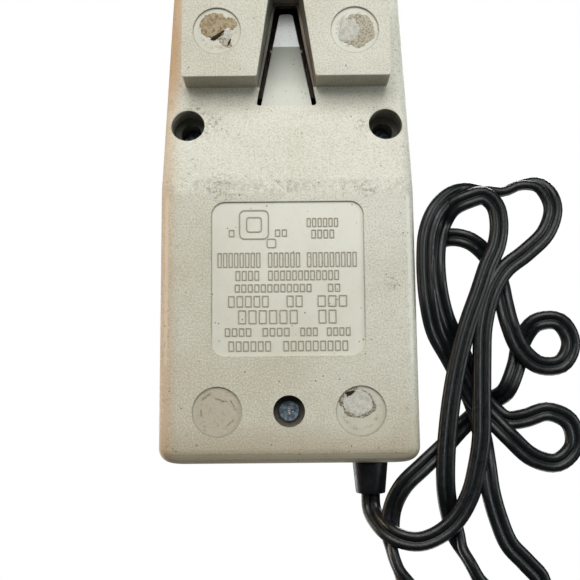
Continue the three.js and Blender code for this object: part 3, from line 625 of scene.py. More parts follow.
def smudges(look):
    """Smudges on the slope, along the crease and beside the label panel: across, along, radius."""
    places = [(-33, -31, 9), (-37.5, -37, 5), (30, -30, 4), (-3.5, -3.4, 3.4), (31.5, -1, 5), (-26, -2, 8),
              (40, 36, 4)]
    ragged = look.span(look.noise(1.5, 4, 0.75), 0.48, 0.62)
    for x, y, r in places:
        look.stain((92, 88, 76), look.under(look.distance(x, y), 0.35 * r, r, 0.55), look.underside, ragged)


def dirt(look):
    """Dirt that thickens towards the long edges, and dark specks."""
    edges = look.plus(look.times(look.span(look.across, 30, 47), 0.35), 0.10)
    look.stain((98, 90, 72), look.span(look.noise(2.2, 5, 0.75), 0.54, 0.74), edges)
    look.stain((58, 52, 42), look.specks(3.1, 0.07, 0.13, 8, 0.75))


def outlines(look):
    """Thin lines of painted shade round the label panel and the foot seats, strongest at the panel's front,
    and faint arcs left by the feet.
    """
    along = look.apart(look.y, (LABEL_Y0 + LABEL_Y1) / 2)
    past_x = look.maths("MAXIMUM", look.minus(look.across, LABEL_X - LABEL_CORNER), 0.0)
    past_y = look.maths("MAXIMUM", look.minus(along, (LABEL_Y1 - LABEL_Y0) / 2 - LABEL_CORNER), 0.0)
    line = look.under(look.apart(look.reach(past_x, past_y), LABEL_CORNER), 0.1, 0.4)
    # Painted shade along the panel's step.
    look.stain((96, 90, 74), line, look.span(look.y, 50, 61, 0.42, 0.12), look.underside)
    line = look.under(look.apart(look.from_seat, FOOT_R), 0.1, 0.4)
    # Painted shade along the seats' step.
    look.stain((92, 88, 72), line, look.under(look.z, 0, 4, 0.34))
    ring = look.times(look.span(look.from_seat, 5.2, 6.6), look.under(look.from_seat, 7.2, 8.2))
    ragged = look.span(look.noise(1.5, 4, 0.75), 0.46, 0.64, 0.0, 0.5)
    look.stain((112, 104, 84), ring, ragged, look.polished)


def shaded_holes(look):
    """Painted shade inside the slots beside the tongue and inside the screw wells, lighter in a band near
    the wells' mouth as a painted lit lip.
    """
    slots = look.times(look.under(look.across, 13.6, 13.8), look.under(look.y, -38.4, -38.0))
    # Painted shade: the slots' walls painted near black.
    look.stain((10, 10, 9), slots, look.span(look.depth, 0.2, 0.6, 0.0, 0.97), look.underside)
    # Painted light: the shade eases off in a band near the wells' mouth, a painted lit lip.
    lip = look.times(look.span(look.depth, 2.6, 2.9), look.under(look.depth, 3.3, 3.6), 0.4)
    dark = look.minus(look.span(look.depth, 0.3, 1.2, 0.0, 0.62), lip)
    dark = look.plus(dark, look.span(look.depth, 7, 13, 0.0, 0.12))
    for x, y, r in ((-WELL_X, WELL_Y, WELL_R), (WELL_X, WELL_Y, WELL_R), (0, FOOT_REAR_Y, REAR_WELL_R)):
        inside = look.under(look.distance(x, y), r + 0.1, r + 0.4)
        # Painted shade inside the wells, deepening with depth.
        look.stain((34, 33, 25), inside, look.under(look.z, 36, 40), dark)


def soiled_and_shaded_plastic(name):
    """Putty-coloured moulding: yellowed and soiled towards the rear and at the crease, with painted shade in
    the holes, on the legs' walls, round the recesses and towards the rear and left, and a painted warm
    reflection on the left flank.
    """
    look = HousingLook(name)
    for soil in (yellowing_shade_and_grain, crease_grime, warm_lit_flank_and_rear_edge, painted_leg_shade, smudges, dirt, outlines, shaded_holes):
        soil(look)
    shine = look.times(look.polished, -0.12)
    look.gloss(look.plus(look.span(look.pebble, 0.3, 0.7, 0.50, 0.64), shine))
    look.bump(look.times(look.pebble, look.grain), 0.16)
    look.bump(look.noise(26, 2), 0.5, 0.3)
    return look.done()


def tongue_plastic(name):
    """The same plastic, polished, with painted shade that darkens it towards the crest and a painted
    bluish-white reflection on the facet beyond the crest.
    """
    look = Look(name, (142, 147, 139), roughness=0.38, specular=0.45)
    y = look.axis("Y")
    # Painted shade: lighter towards the root, darker towards the crest.
    look.stain((198, 200, 190), look.span(y, TONGUE_CREST_Y, -44))
    # Painted reflection: the facet beyond the crest in bluish white.
    look.stain((250, 254, 255), look.under(y, TONGUE_CREST_Y - 0.5, TONGUE_CREST_Y + 0.1))
    look.stain((120, 122, 110), look.span(look.noise(1.3, 4, 0.7), 0.5, 0.75, 0.0, 0.22))
    look.stain((60, 60, 52), look.specks(2.3, 0.08, 0.15, 6, 0.7))
    look.bump(look.noise(3, 3), 0.05)
    return look.done()


def marked_plastic(name):
    """The raised marks, painted darker than the panel as painted shade of the moulded strokes, with lighter
    patches.
    """
    look = Look(name, (138, 132, 115), roughness=0.45, specular=0.4)
    look.stain((163, 157, 140), look.noise(5, 3))
    return look.done()


def adhesive(name, light, dark, size=1.3, low=0.4, high=0.62):
    look = Look(name, light, roughness=0.85, specular=0.2)
    look.stain(dark, look.span(look.noise(size, 5, 0.75), low, high))
    look.bump(look.noise(0.5, 4, 0.7), 0.3)
    return look.done()


def plain_plastic(name, colour, roughness=0.42, grain=0.03, size=0.5, dust=0.05):
    look = Look(name, colour, roughness=roughness, specular=0.45)
    fine = look.noise(size, 3, 0.6)
    look.stain((150, 142, 128), look.span(look.noise(6, 4, 0.65), 0.45, 0.75, 0.0, dust))
    look.stain(tuple(min(255, c + 40) for c in colour), look.span(fine, 0.35, 0.7, 0.0, 0.10))
    look.gloss(look.span(fine, 0.3, 0.7, roughness - 0.06, roughness + 0.1))
    look.bump(fine, grain)
    return look.done()


def metal(name, colour, roughness=0.32, size=0.35, stretch=(1, 0.08, 1)):
    look = Look(name, colour, roughness=roughness, metallic=1.0)
    brushed = look.noise(size, 3, 0.6, stretch)
    look.stain(tuple(c * 0.45 for c in colour), look.span(look.noise(5, 4, 0.6), 0.4, 0.75, 0.0, 0.25))
    look.gloss(look.span(brushed, 0.25, 0.75, roughness - 0.08, roughness + 0.14))
    look.bump(brushed, 0.02)
    return look.done()


def screw_steel(name):
    """Bluish zinc, mottled with lighter patches as painted sheen, with a painted highlight along the rear
    screw's cross.
    """
    look = Look(name, (84, 98, 112), roughness=0.4, metallic=0.45)
    dx = look.maths("ABSOLUTE", look.axis("X"))
    dy = look.apart(look.axis("Y"), FOOT_REAR_Y)
    arms = [look.times(look.under(a, 0.2, 0.6), look.under(b, 1.2, 2.2)) for a, b in ((dx, dy), (dy, dx))]
    # Painted sheen: lighter mottled patches.
    look.stain((140, 158, 172), look.span(look.noise(1.8, 3), 0.35, 0.65))
    # Painted highlight along the arms of the rear screw's cross.
    look.stain((255, 255, 255), look.maths("MAXIMUM", *arms), look.span(look.noise(0.8, 3), 0.40, 0.58))
    look.bump(look.noise(0.5, 3), 0.03)
    return look.done()


def vinyl(name):
    """Black cord jacket: semi-gloss, with a little dust on it."""
    look = Look(name, (10, 13, 15), roughness=0.3, specular=0.4)
    look.stain((19, 24, 27), look.span(look.noise(14, 3), 0.3, 0.7, 0.0, 0.5))
    look.stain((120, 122, 120), look.span(look.noise(0.9, 4, 0.7), 0.62, 0.76, 0.0, 0.26))
    look.gloss(look.span(look.noise(2.4, 4, 0.6), 0.3, 0.7, 0.28, 0.46))
    look.bump(look.noise(1.6, 3), 0.05)
    return look.done()


# ---------- stage and lights ----------
def make_stage():
    """A pale floor, drawn on its upper side only, and soft light from above and from below it."""
    corners = [(-6000, -6000, -0.2), (6000, -6000, -0.2), (6000, 6000, -0.2), (-6000, 6000, -0.2)]
    floor = mesh_of("floor", corners, [(0, 1, 2, 3)])
    look = Look("floor", (236, 236, 234), roughness=0.8, specular=0.2)
    look.stain((240, 240, 238), look.noise(300, 2))
    away = look.node("ShaderNodeVectorMath", operation="LENGTH")
    look.feed(away.inputs[0], look.place)
    glow = look.node("ShaderNodeEmission").outputs[0]
    fade = look.node("ShaderNodeMixShader")
    look.feed(fade.inputs[0], look.span(away.outputs["Value"], 0.5, 1.5))
    look.feed(fade.inputs[1], look.shader.outputs[0])
    look.feed(fade.inputs[2], glow)
    facing = look.node("ShaderNodeNewGeometry").outputs["Backfacing"]
    clear = look.node("ShaderNodeBsdfTransparent").outputs[0]
    blend = look.node("ShaderNodeMixShader")
    output = look.tree.nodes["Material Output"]
    look.feed(blend.inputs[0], facing)
    look.feed(blend.inputs[1], fade.outputs[0])
    look.feed(blend.inputs[2], clear)
    look.feed(output.inputs[0], blend.outputs[0])
    floor.data.materials.append(look.done())
    for flag in ("visible_diffuse", "visible_glossy", "visible_transmission", "visible_shadow"):
        setattr(floor, flag, False)

    world = bpy.data.worlds.new("studio")
    bpy.context.scene.world = world
    world.use_nodes = True
    nodes = world.node_tree.nodes
    links = world.node_tree.links
    backdrop = nodes.new("ShaderNodeBackground")
    backdrop.inputs["Color"].default_value = (1, 1, 1, 1)
    backdrop.inputs["Strength"].default_value = 1.0
    nodes["Background"].inputs["Color"].default_value = (0.93, 0.96, 1.0, 1)
    nodes["Background"].inputs["Strength"].default_value = 0.065
    seen = nodes.new("ShaderNodeLightPath").outputs["Is Camera Ray"]
    mixed = nodes.new("ShaderNodeMixShader")
    links.new(seen, mixed.inputs[0])
    links.new(nodes["Background"].outputs[0], mixed.inputs[1])
    links.new(backdrop.outputs[0], mixed.inputs[2])
    links.new(mixed.outputs[0], nodes["World Output"].inputs[0])
    bpy.context.scene.view_settings.view_transform = "Standard"

    soft_light("below_front", (-0.05, -0.66, -0.96), (0, 0.03, 0.02), 1.0, 14.6, (1.0, 0.99, 0.955))
    soft_light("below_right", (0.88, 0.02, -0.50), (0, 0.05, 0.02), 0.5, 3.6, (0.93, 1.0, 1.0))
    soft_light("below_left", (-0.95, -0.08, -0.06), (0, 0.05, 0.02), 0.4, 4.6, (1.0, 0.74, 0.5))
    soft_light("above_key", (0.7, -1.1, 1.5), (0, 0, 0.04), 1.0, 27, (1.0, 0.98, 0.95))
    soft_light("above_fill", (-1.3, 0.6, 1.2), (0, 0, 0.04), 1.2, 17, (0.95, 0.97, 1.0))
    soft_light("above_back", (0.6, 1.5, 0.9), (0, 0, 0.04), 1.2, 14, (1.0, 1.0, 1.0))


def soft_light(name, place, target, size, power, colour):
    light = bpy.data.lights.new(name, "AREA")
    light.energy = power
    light.size = size
    light.color = colour
    obj = bpy.data.objects.new(name, light)
    bpy.context.scene.collection.objects.link(obj)
    obj.location = place
    obj.rotation_euler = (Vector(target) - Vector(place)).to_track_quat("-Z", "Y").to_euler()


make_camera()
make_stage()
jacket = vinyl("cord_jacket")


def make_cord():
    line, rolls = cord_line()
    lay = sweep("supply_cord", line, twin_section(), rolls)
    smooth(lay, 60)
    dress(lay, jacket, "housing", "black_vinyl", "cord_tube", "cord_tail", "cord_coil")
    return lay, [p * MM for p in line]


# ---------- the housing's form ----------
def bottom_at(y):
    """Height of the underside: flat at the rear, a slope at the front, and a gentle bend between them."""
    past = CREASE_Y + CREASE_BEND - y
    if 0 < past < 2 * CREASE_BEND:
        return SLOPE_TAN * past * past / (4 * CREASE_BEND)
    return max(0, (CREASE_Y - y) * SLOPE_TAN)


def top_at(y):
    return TOP_REAR + TOP_RISE * (HALF_LENGTH - y) / (2 * HALF_LENGTH - 23)


def half_width_at(y):
    return HALF_WIDTH_REAR - SIDE_TAPER * (HALF_LENGTH - 20 - y)


def along_slope(y):
    return (CREASE_Y - y) / math.cos(SLOPE)


def arc(cx, cz, r, start, end, steps):
    return [(cx + r * math.cos(math.radians(start + (end - start) * i / steps)),
             cz + r * math.sin(math.radians(start + (end - start) * i / steps))) for i in range(steps + 1)]


def stations(offset):
    """Lengthwise stations, closing in round the rear corners."""
    r = CORNER_R - offset * 0.6
    turns = [math.radians(90 * i / 12) for i in range(13)]
    rear = [(HALF_LENGTH - offset - r + r * math.sin(a), r * (1 - math.cos(a))) for a in turns]
    bend = [(CREASE_Y + CREASE_BEND * k / 6, 0) for k in range(-6, 7)]
    return [(-120, 0)] + bend + rear


def tray_ring(station, offset):
    y, inset = station
    w = half_width_at(y) - offset - inset
    r = EDGE_R - offset * 0.6
    floor = bottom_at(y) + offset + inset * 0.9
    top = bottom_at(y) + TRAY_HEIGHT + (1 if offset > 0 else 0)
    outline = [(w, top)] + arc(w - r, floor + r, r, 0, -90, 12) + arc(-w + r, floor + r, r, -90, -180, 12)
    return [(x, y, z) for x, z in outline + [(-w, top)]]


def cover_ring(station, offset):
    y, inset = station
    w = half_width_at(y) - offset - inset
    r = TOP_EDGE_R - offset * 0.6
    base = bottom_at(y) + TRAY_HEIGHT + 0.3 - (1 if offset > 0 else 0)
    top = top_at(y) - offset - inset * 0.9
    lean = w - SIDE_LEAN
    outline = [(-w, base)] + arc(-lean + r, top - r, r, 180, 90, 14) + arc(lean - r, top - r, r, 90, 0, 14)
    return [(x, y, z) for x, z in outline + [(w, base)]]


def front_limit(s):
    return sloped(box("limit", -80, 80, -s, 260, -80, 200))


def shell(name, ring):
    outer = loft(name, [ring(station, 0) for station in stations(0)])
    inner = loft("inner", [ring(station, WALL) for station in stations(WALL)])
    return common(cut(outer, inner), front_limit(FRONT_S))


def inside_cover(clearance):
    offset = WALL + clearance
    inner = loft("inner", [cover_ring(station, offset) for station in stations(offset)])
    lower = loft("lower", [tray_ring(station, offset) for station in stations(offset)])
    both = join(inner, lower)
    both.data.transform(TO_SLOPE.inverted())
    return both


# ---------- base plate ----------
def pad_inner_x(y):
    return PAD_INNER_X - PAD_NARROWING * (PAD_REAR_Y - y)


def rounded(points, radii):
    """A polygon with its corners rounded; radii go corner by corner."""
    result = []
    steps = 6
    count = len(points)
    for i, (point, r) in enumerate(zip(points, radii)):
        p = Vector(point)
        before = (Vector(points[i - 1]) - p).normalized()
        after = (Vector(points[(i + 1) % count]) - p).normalized()
        if r <= 0:
            result.append(tuple(p))
            continue
        half = math.acos(max(-1, min(1, before.dot(after)))) / 2
        reach = r / math.tan(half)
        centre = p + (before + after).normalized() * (r / math.sin(half))
        a, b = p + before * reach - centre, p + after * reach - centre
        turn = a.angle_signed(b)
        for k in range(steps + 1):
            t = -turn * k / steps
            result.append((centre.x + a.x * math.cos(t) - a.y * math.sin(t),
                           centre.y + a.x * math.sin(t) + a.y * math.cos(t)))
    return result


def pad_outline(side, inset):
    rear, front = PAD_REAR_Y - inset, PAD_FRONT_Y + inset
    points = [(pad_inner_x(rear) + inset, rear), (PAD_OUTER_X - inset, rear),
              (PAD_OUTER_X - inset - 0.6, front), (pad_inner_x(front) + inset, front)]
    points = [(side * x, y) for x, y in points]
    return points if side < 0 else points[::-1]


def below_floor(height):
    """Everything under the sloping floor, up to that height above its lower face."""
    return sloped(box("under", -80, 80, -200, 10, -80, height))


def pad(side):
    """A leg of the base, which stands on z = 0 and ends inside the sloping floor."""
    leg = prism("pad", rounded(pad_outline(side, 0), [PAD_CORNER] * 4), 0, 60)
    return common(leg, below_floor(WALL - 0.4))


def bridge():
    """The wall that closes the front of the notch between the pads."""
    near, far = pad_inner_x(BRIDGE_Y) + 1, pad_inner_x(PAD_FRONT_Y) + 1
    outline = [(-far, PAD_FRONT_Y), (far, PAD_FRONT_Y), (near, BRIDGE_Y), (-near, BRIDGE_Y)]
    wall = prism("bridge", outline, BRIDGE_Z, 60)
    return common(wall, below_floor(WALL - 0.4))


def pad_pocket(side):
    pocket = prism("pocket", pad_outline(side, 2.4), 2.6, 60)
    return common(pocket, below_floor(WALL + 1))


def tongue_half(y):
    """Half the width of the tongue: one taper from the root to the crest, another on to the tip."""
    if y > TONGUE_CREST_Y:
        t = (TONGUE_ROOT_Y - y) / (TONGUE_ROOT_Y - TONGUE_CREST_Y)
        return TONGUE_ROOT_HALF + (TONGUE_CREST_HALF - TONGUE_ROOT_HALF) * t
    t = (TONGUE_CREST_Y - y) / (TONGUE_CREST_Y - TONGUE_TIP_Y)
    return TONGUE_CREST_HALF + (TONGUE_TIP_HALF - TONGUE_CREST_HALF) * t


def make_base():
    label = rounded_rectangle(-LABEL_X, LABEL_X, LABEL_Y0, LABEL_Y1, LABEL_CORNER)
    tray = shell("base", tray_ring)
    join(tray, pad(-1), pad(1), bridge())
    for side in (-1, 1):
        x = side * WELL_X
        join(
            tray,
            cylinder("well", x, WELL_Y, bottom_at(WELL_Y) + 1, WELL_STEP + 1.6, WELL_R + 1),
            cylinder("neck", x, WELL_Y, WELL_STEP, WELL_TOP, WELL_NECK_R + 1.3),
        )
    join(tray, cylinder("well", 0, FOOT_REAR_Y, 1, REAR_WELL_TOP, REAR_WELL_R + 1.6))
    for side in (-1, 1):
        x = side * WELL_X
        cut(
            tray,
            pad_pocket(side),
            cylinder("well", x, WELL_Y, -5, WELL_STEP, WELL_R),
            cylinder("neck", x, WELL_Y, 20, WELL_TOP - WELL_FLOOR, WELL_NECK_R),
            cylinder("bore", x, WELL_Y, 20, 60, SCREW_BORE_R),
            cylinder("seat", side * FOOT_X, FOOT_FRONT_Y, -1, FOOT_DEPTH, FOOT_R, 80),
            cylinder("seat", side * FOOT_X, FOOT_REAR_Y, -1, FOOT_DEPTH, FOOT_R, 80),
        )
    cut(
        tray,
        cylinder("well", 0, FOOT_REAR_Y, -5, REAR_WELL_TOP - WELL_FLOOR, REAR_WELL_R),
        cylinder("bore", 0, FOOT_REAR_Y, 5, 60, SCREW_BORE_R),
        prism("label", label, -1, LABEL_DEPTH),
        tongue_opening(),
        box("strain_hole", CORD_X - 4.4, CORD_X + 4.4, 90, 120, CORD_Z - 3.2, 60),
    )
    return tray


def tongue_opening():
    stops = (TONGUE_ROOT_Y, TONGUE_CREST_Y, TONGUE_TIP_Y - TIP_SLOT)
    right = [(tongue_half(y) + SLOT, -along_slope(y)) for y in stops]
    points = right + [(-x, y) for x, y in right[::-1]]
    return sloped(prism("opening", rounded(points, [1.2, 0, 1.3, 1.3, 0, 1.2]), -2, 40))


# ---------- tongue ----------
def make_tongue():
    """The latch: flush with the slope to its crest, then bent away towards the drawer it catches."""
    stops = [TONGUE_ROOT_Y + (TONGUE_CREST_Y - TONGUE_ROOT_Y) * k / 16 for k in range(17)]
    lifts = [0.0] * len(stops)
    for k in range(1, 6):
        stops.append(TONGUE_CREST_Y - 0.5 * k)
        lifts.append(0.028 * k * k)
    stops += [TONGUE_TIP_Y + 0.9, TONGUE_TIP_Y + 0.35, TONGUE_TIP_Y]
    lifts += [TONGUE_RISE - 0.26, TONGUE_RISE - 0.1, TONGUE_RISE]
    rings = []
    for k, (y, lift) in enumerate(zip(stops, lifts)):
        half = tongue_half(y)
        if k >= len(stops) - 2:
            half -= 0.35 if k == len(stops) - 2 else 0.95
        s = along_slope(y)
        edge = 0.4
        low = [(half - edge, lift), (half - 0.12, lift + 0.12), (half, lift + edge)]
        high = [(half, lift + TONGUE_T - edge), (half - edge, lift + TONGUE_T)]
        side = low + high
        outline = side + [(-x, h) for x, h in side[::-1]]
        rings.append([(x, -s, h) for x, h in outline])
    tongue = loft("latch_tongue_moulding", rings)
    for side in (-1, 1):
        x0, x1 = sorted((side * (TONGUE_CREST_HALF - 0.4), side * (TONGUE_CREST_HALF + 0.9)))
        s0, s1 = along_slope(TONGUE_CREST_Y + 2.0), along_slope(TONGUE_CREST_Y + 1.0)
        join(tongue, slab("flash", x0, x1, s0, s1, 0.9, 1.6))
    sloped(tongue)
    smooth(tongue, 40)
    return tongue


# ---------- cover, bezel, guide and drawer ----------
def make_cover():
    cover = shell("top_moulding", cover_ring)
    tops = ((-WELL_X, WELL_Y, WELL_TOP), (WELL_X, WELL_Y, WELL_TOP), (0, FOOT_REAR_Y, REAR_WELL_TOP))
    for x, y, z in tops:
        skin = loft("skin", [cover_ring(station, 1) for station in stations(1)])
        head = common(cylinder("boss", x, y, 45, top_at(y), BOSS_R, 32), skin)
        join(cover, head, cylinder("boss", x, y, z + 0.3, 46, BOSS_R, 32))
        cut(cover, cylinder("bore", x, y, z - 1, z + 15, SCREW_BORE_R, 24))
    return cover


def slab(name, x0, x1, s0, s1, h0, h1):
    return box(name, x0, x1, -s1, -s0, h0, h1)


def make_bezel():
    face = slab("bezel_moulding", -60, 60, 104, 107.8, 31.9, 120)
    common(face, inside_cover(0.35))
    rim = [(12.8, -106.9), (14.8, -106.9), (14.8, -109.5), (14.5, -109.8), (13.1, -109.8), (12.8, -109.5)]
    join(face, lathe("rim", rim))
    hole = [(0.001, -90), (GUIDE_HOLE_R, -90), (GUIDE_HOLE_R, -120), (0.001, -120)]
    cut(face, lathe("hole", hole))
    return sloped(face)


def make_guide():
    profile = [
        (PENCIL_R, -97), (8.6, -97), (8.6, -103.2), (12.4, -103.2), (12.6, -103.4), (12.6, -103.7),
        (9.9, -103.7), (9.9, -108.3), (9.6, -108.7), (8.7, -109.1), (8.2, -109.1), (7.6, -108.6),
        (6.2, -107.0), (5.1, -105.8), (PENCIL_R, -105.0),
    ]
    guide = sloped(lathe("guide_moulding", profile))
    smooth(guide, 35)
    return guide


def make_drawer():
    s1 = FRONT_S - 4.4
    drawer = slab("drawer_moulding", -43, 43, 45, s1 + 1, 3.4, 30)
    panel = common(slab("panel", -60, 60, s1, FRONT_S - 0.4, 3.4, 31), inside_cover(0.35))
    join(drawer, panel)
    cut(drawer, slab("hollow", -41.2, 41.2, 46.8, s1, 5.2, 60))
    join(drawer, slab("hump", -10.3, 10.3, 45, 94.3, 3.4, 9.2))
    cut(drawer, slab("channel", -8.5, 8.5, 44, 92.5, 0, 7.4))
    grip = rounded([(-16, 22), (16, 22), (16, 28.8), (-16, 28.8)], [2.4] * 4)
    tool = loft("grip", [[(x, -s, h) for x, h in grip] for s in (106, 113)])
    return sloped(cut(drawer, tool))


# ---------- plain marks moulded in the label panel ----------
# Rows of small plain boxes, where a maker's text would be: first and last y, pitch, and spans of x.
MARK_ROWS = [
    (14.4, 17.3, 2.5, [(-23.0, -20.6), (-4.9, -0.1)]),
    (10.0, 13.6, 2.1, [(7.5, 19.9)]),
    (14.6, 18.1, 2.3, [(9.3, 18.3)]),
    (23.5, 29.4, 2.1, [(-27.4, -10.6), (-7.7, 4.9), (7.5, 27.0)]),
    (30.6, 34.5, 2.4, [(-20.4, -11.1), (-7.7, 19.9)]),
    (35.9, 39.1, 2.5, [(-20.7, 9.2), (15.5, 20.4)]),
    (40.4, 44.9, 3.5, [(-23.3, -7.5), (-0.6, 5.7), (11.4, 23.1)]),
    (46.0, 51.4, 3.9, [(-19.4, 3.8), (11.7, 18.8)]),
    (52.9, 56.2, 2.5, [(-24.6, -14.2), (-10.0, 0.6), (4.6, 11.4), (14.9, 24.1)]),
    (58.0, 62.0, 2.8, [(-23.2, -6.7), (-2.0, 23.1)]),
]


def outline_bar(x0, x1, y0, y1, stroke, r):
    """A raised rounded frame, as thin as a pen stroke, standing down from the panel."""
    r = min(r, (y1 - y0) / 2 - 0.01, (x1 - x0) / 2 - 0.01)
    outer = rounded_rectangle(x0, x1, y0, y1, r, 3)
    inner_r = max(0.05, r - stroke)
    inner = rounded_rectangle(x0 + stroke, x1 - stroke, y0 + stroke, y1 - stroke, inner_r, 3)
    low, high = LABEL_DEPTH - 0.22, LABEL_DEPTH + 0.2
    verts = []
    for ring, z in ((outer, high), (outer, low), (inner, low), (inner, high)):
        verts += [(x, y, z) for x, y in ring]
    count = len(outer)
    faces = []
    for k in range(4):
        a, b = k * count, (k + 1) % 4 * count
        for i in range(count):
            j = (i + 1) % count
            faces.append((a + i, a + j, b + j, b + i))
    return verts, faces


def make_marks():
    bars = [(-19.0, -7.2, 6.6, 18.4, 0.5, 2.2), (-16.2, -10.0, 9.4, 15.6, 0.45, 1.2),
            (-8.2, -4.4, 18.0, 21.8, 0.4, 0.9)]
    for y0, y1, pitch, spans in MARK_ROWS:
        for x0, x1 in spans:
            count = max(1, round((x1 - x0) / pitch))
            step = (x1 - x0 + 0.2 * pitch) / count
            left = [x0 + k * step for k in range(count)]
            bars += [(x, x + 0.78 * step, y0, y1, MARK_STROKE, 0.3) for x in left]
    verts, faces = [], []
    for bar in bars:
        more, sides = outline_bar(*bar)
        faces += [tuple(len(verts) + i for i in side) for side in sides]
        verts += more
    return outward(mesh_of("label_marks", verts, faces))


# ---------- dried adhesive in the foot seats ----------
def blob(name, centre, r, seed, depth, stretch, turn, ragged):
    """A ragged, slightly domed patch facing down, its rim feathered into the seat."""
    chance = random.Random(seed)
    waves = [(k, chance.uniform(-1, 1) * ragged / (k ** 0.8), chance.uniform(0, 6.28)) for k in range(2, 34)]
    sides = 160
    c, s = math.cos(math.radians(turn)), math.sin(math.radians(turn))
    top = FOOT_DEPTH - 0.01
    rings = []
    for reach, fall in ((1.0, 1.0), (0.985, 0.35), (0.93, 0.1), (0.6, 0.0), (0.25, 0.06)):
        ring = []
        for i in range(sides):
            a = 2 * math.pi * i / sides
            edge = r * reach * (1 + sum(h * math.sin(k * a + p) for k, h, p in waves))
            u, v = edge * stretch[0] * math.cos(a), edge * stretch[1] * math.sin(a)
            lump = chance.uniform(-0.04, 0.04) if reach < 1 else 0
            z = depth + (top - depth) * min(1, max(0, fall + lump))
            ring.append((centre[0] + u * c - v * s, centre[1] + u * s + v * c, z))
        rings.append(ring)
    return loft(name, rings)


# ---------- plug ----------
def make_plug():
    """A flat moulded plug: a ribbed strain relief, sloping shoulders and a thumb grip on each face."""
    rings = []
    steps = 66
    for k in range(steps + 1):
        d = PLUG_LENGTH * k / steps
        if d < 7:
            rib = 0.7 if (d % 1.75) > 0.95 else 0.0
            rx, rz, power = 4.9 + 0.42 * d - rib, 3.6 + 0.36 * d - rib, 2.0
        else:
            t = ease((d - 7) / 5)
            rx, rz, power = 8.0 + 4.8 * t, 6.2 + 1.75 * t, 2.0 + 1.6 * t
        if d > 24.6:
            rx -= (d - 24.6) * 0.5
            rz -= (d - 24.6) * 0.5
        grip = 1.15 * ease((d - 12.5) / 2) * (1 - ease((d - 21.5) / 2)) if d > 12 else 0
        ring = []
        for i in range(48):
            a = 2 * math.pi * i / 48
            c, s = math.cos(a), math.sin(a)
            x = rx * math.copysign(abs(c) ** (2 / power), c)
            z = rz * math.copysign(abs(s) ** (2 / power), s)
            z -= math.copysign(grip, z) * ease((7.5 - abs(x)) / 2.5)
            if abs(x) < 6 and abs(z) > 4 and 14 < d < 21 and int(d / 0.8) % 2:
                z += math.copysign(0.45, z)
            ring.append((x, d, PLUG_Z + z))
        rings.append(ring)
    plug = loft("plug_moulding", rings)
    turn = Matrix.Translation(Vector((*PLUG_END, 0)) * MM) @ Matrix.Rotation(math.radians(150), 4, "Z")
    plug.data.transform(turn)
    smooth(plug, 45)
    return plug


def make_strain_relief():
    """The tapered sleeve at the rear wall: a flange, and a plain cone, open for the flat cord."""
    profile = [(96, 6.5, 5.4), (101.6, 6.6, 5.6), (101.7, 4.1, 2.9), (105.35, 4.1, 2.9), (105.4, 6.2, 5.6),
               (105.6, 6.9, 6.3)]
    profile += [(106 + 11.2 * k / 12, 6.9 - 1.1 * k / 12, 6.3 - k / 12) for k in range(13)]
    profile += [(117.5, 5.6, 5.1), (117.6, 5.2, 4.7), (117.5, 4.4, 3.2), (116.9, 4.1, 2.6), (112, 4.0, 2.5)]
    turns = [2 * math.pi * i / 48 for i in range(48)]
    rings = []
    for y, rx, rz in profile:
        rings.append([(CORD_X + rx * math.cos(a), y, CORD_Z + rz * math.sin(a)) for a in turns])
    sleeve = loft("cord_sleeve", rings)
    smooth(sleeve, 40)
    return sleeve


# ---------- assembly ----------
grained = soiled_and_shaded_plastic("putty_grained")
base = make_base()
soften(base, 0.45, skip=lambda v: abs(v.y / MM - TONGUE_ROOT_Y) < 1 and abs(v.x / MM) < 10.6)
dress(base, grained, "housing", "putty_abs", "base_plate")
base.name = "base_moulding"

cover = soften(make_cover(), 0.45)
dress(cover, grained, "housing", "putty_abs", "top_cover")

tongue = make_tongue()
dress(tongue, tongue_plastic("putty_painted_light"), "latch", "putty_abs", "latch_tongue")

bezel = soften(make_bezel(), 0.4)
dress(bezel, plain_plastic("brown_satin", (52, 38, 30)), "housing", "dark_brown_abs", "front_bezel")
guide = make_guide()
black = plain_plastic("black_satin", (24, 25, 26), 0.4)
dress(guide, black, "housing", "black_plastic", "pencil_guide")
drawer = soften(make_drawer(), 0.35)
smoked = plain_plastic("smoked_clear", (30, 21, 16), 0.15, 0.01)
dress(drawer, smoked, "drawer", "smoked_styrene", "shavings_drawer")

strain_relief = make_strain_relief()
dress(strain_relief, jacket, "housing", "black_vinyl", "strain_relief")
plug = make_plug()
dress(plug, jacket, "housing", "black_vinyl", "cord_plug")

cord, cord_points = make_cord()

marks = make_marks()
dress(marks, marked_plastic("putty_polished"), "housing", "putty_abs")

tan = adhesive("adhesive_tan", (182, 168, 138), (126, 110, 84), 1.1, 0.38, 0.64)
white = adhesive("adhesive_white", (208, 207, 200), (184, 181, 170), 1.6)
crumbs = adhesive("adhesive_crumbs", (190, 184, 168), (128, 120, 100), 0.8, 0.46, 0.62)
grey = adhesive("adhesive_grey", (176, 170, 152), (104, 98, 82), 0.8, 0.42, 0.58)
dark = adhesive("adhesive_dark", (52, 46, 36), (28, 25, 20))
faint = adhesive("adhesive_faint", (190, 183, 165), (160, 153, 134), 1.3, 0.50, 0.72)
stain = adhesive("adhesive_stain", (172, 164, 142), (112, 104, 84), 0.7, 0.44, 0.62)

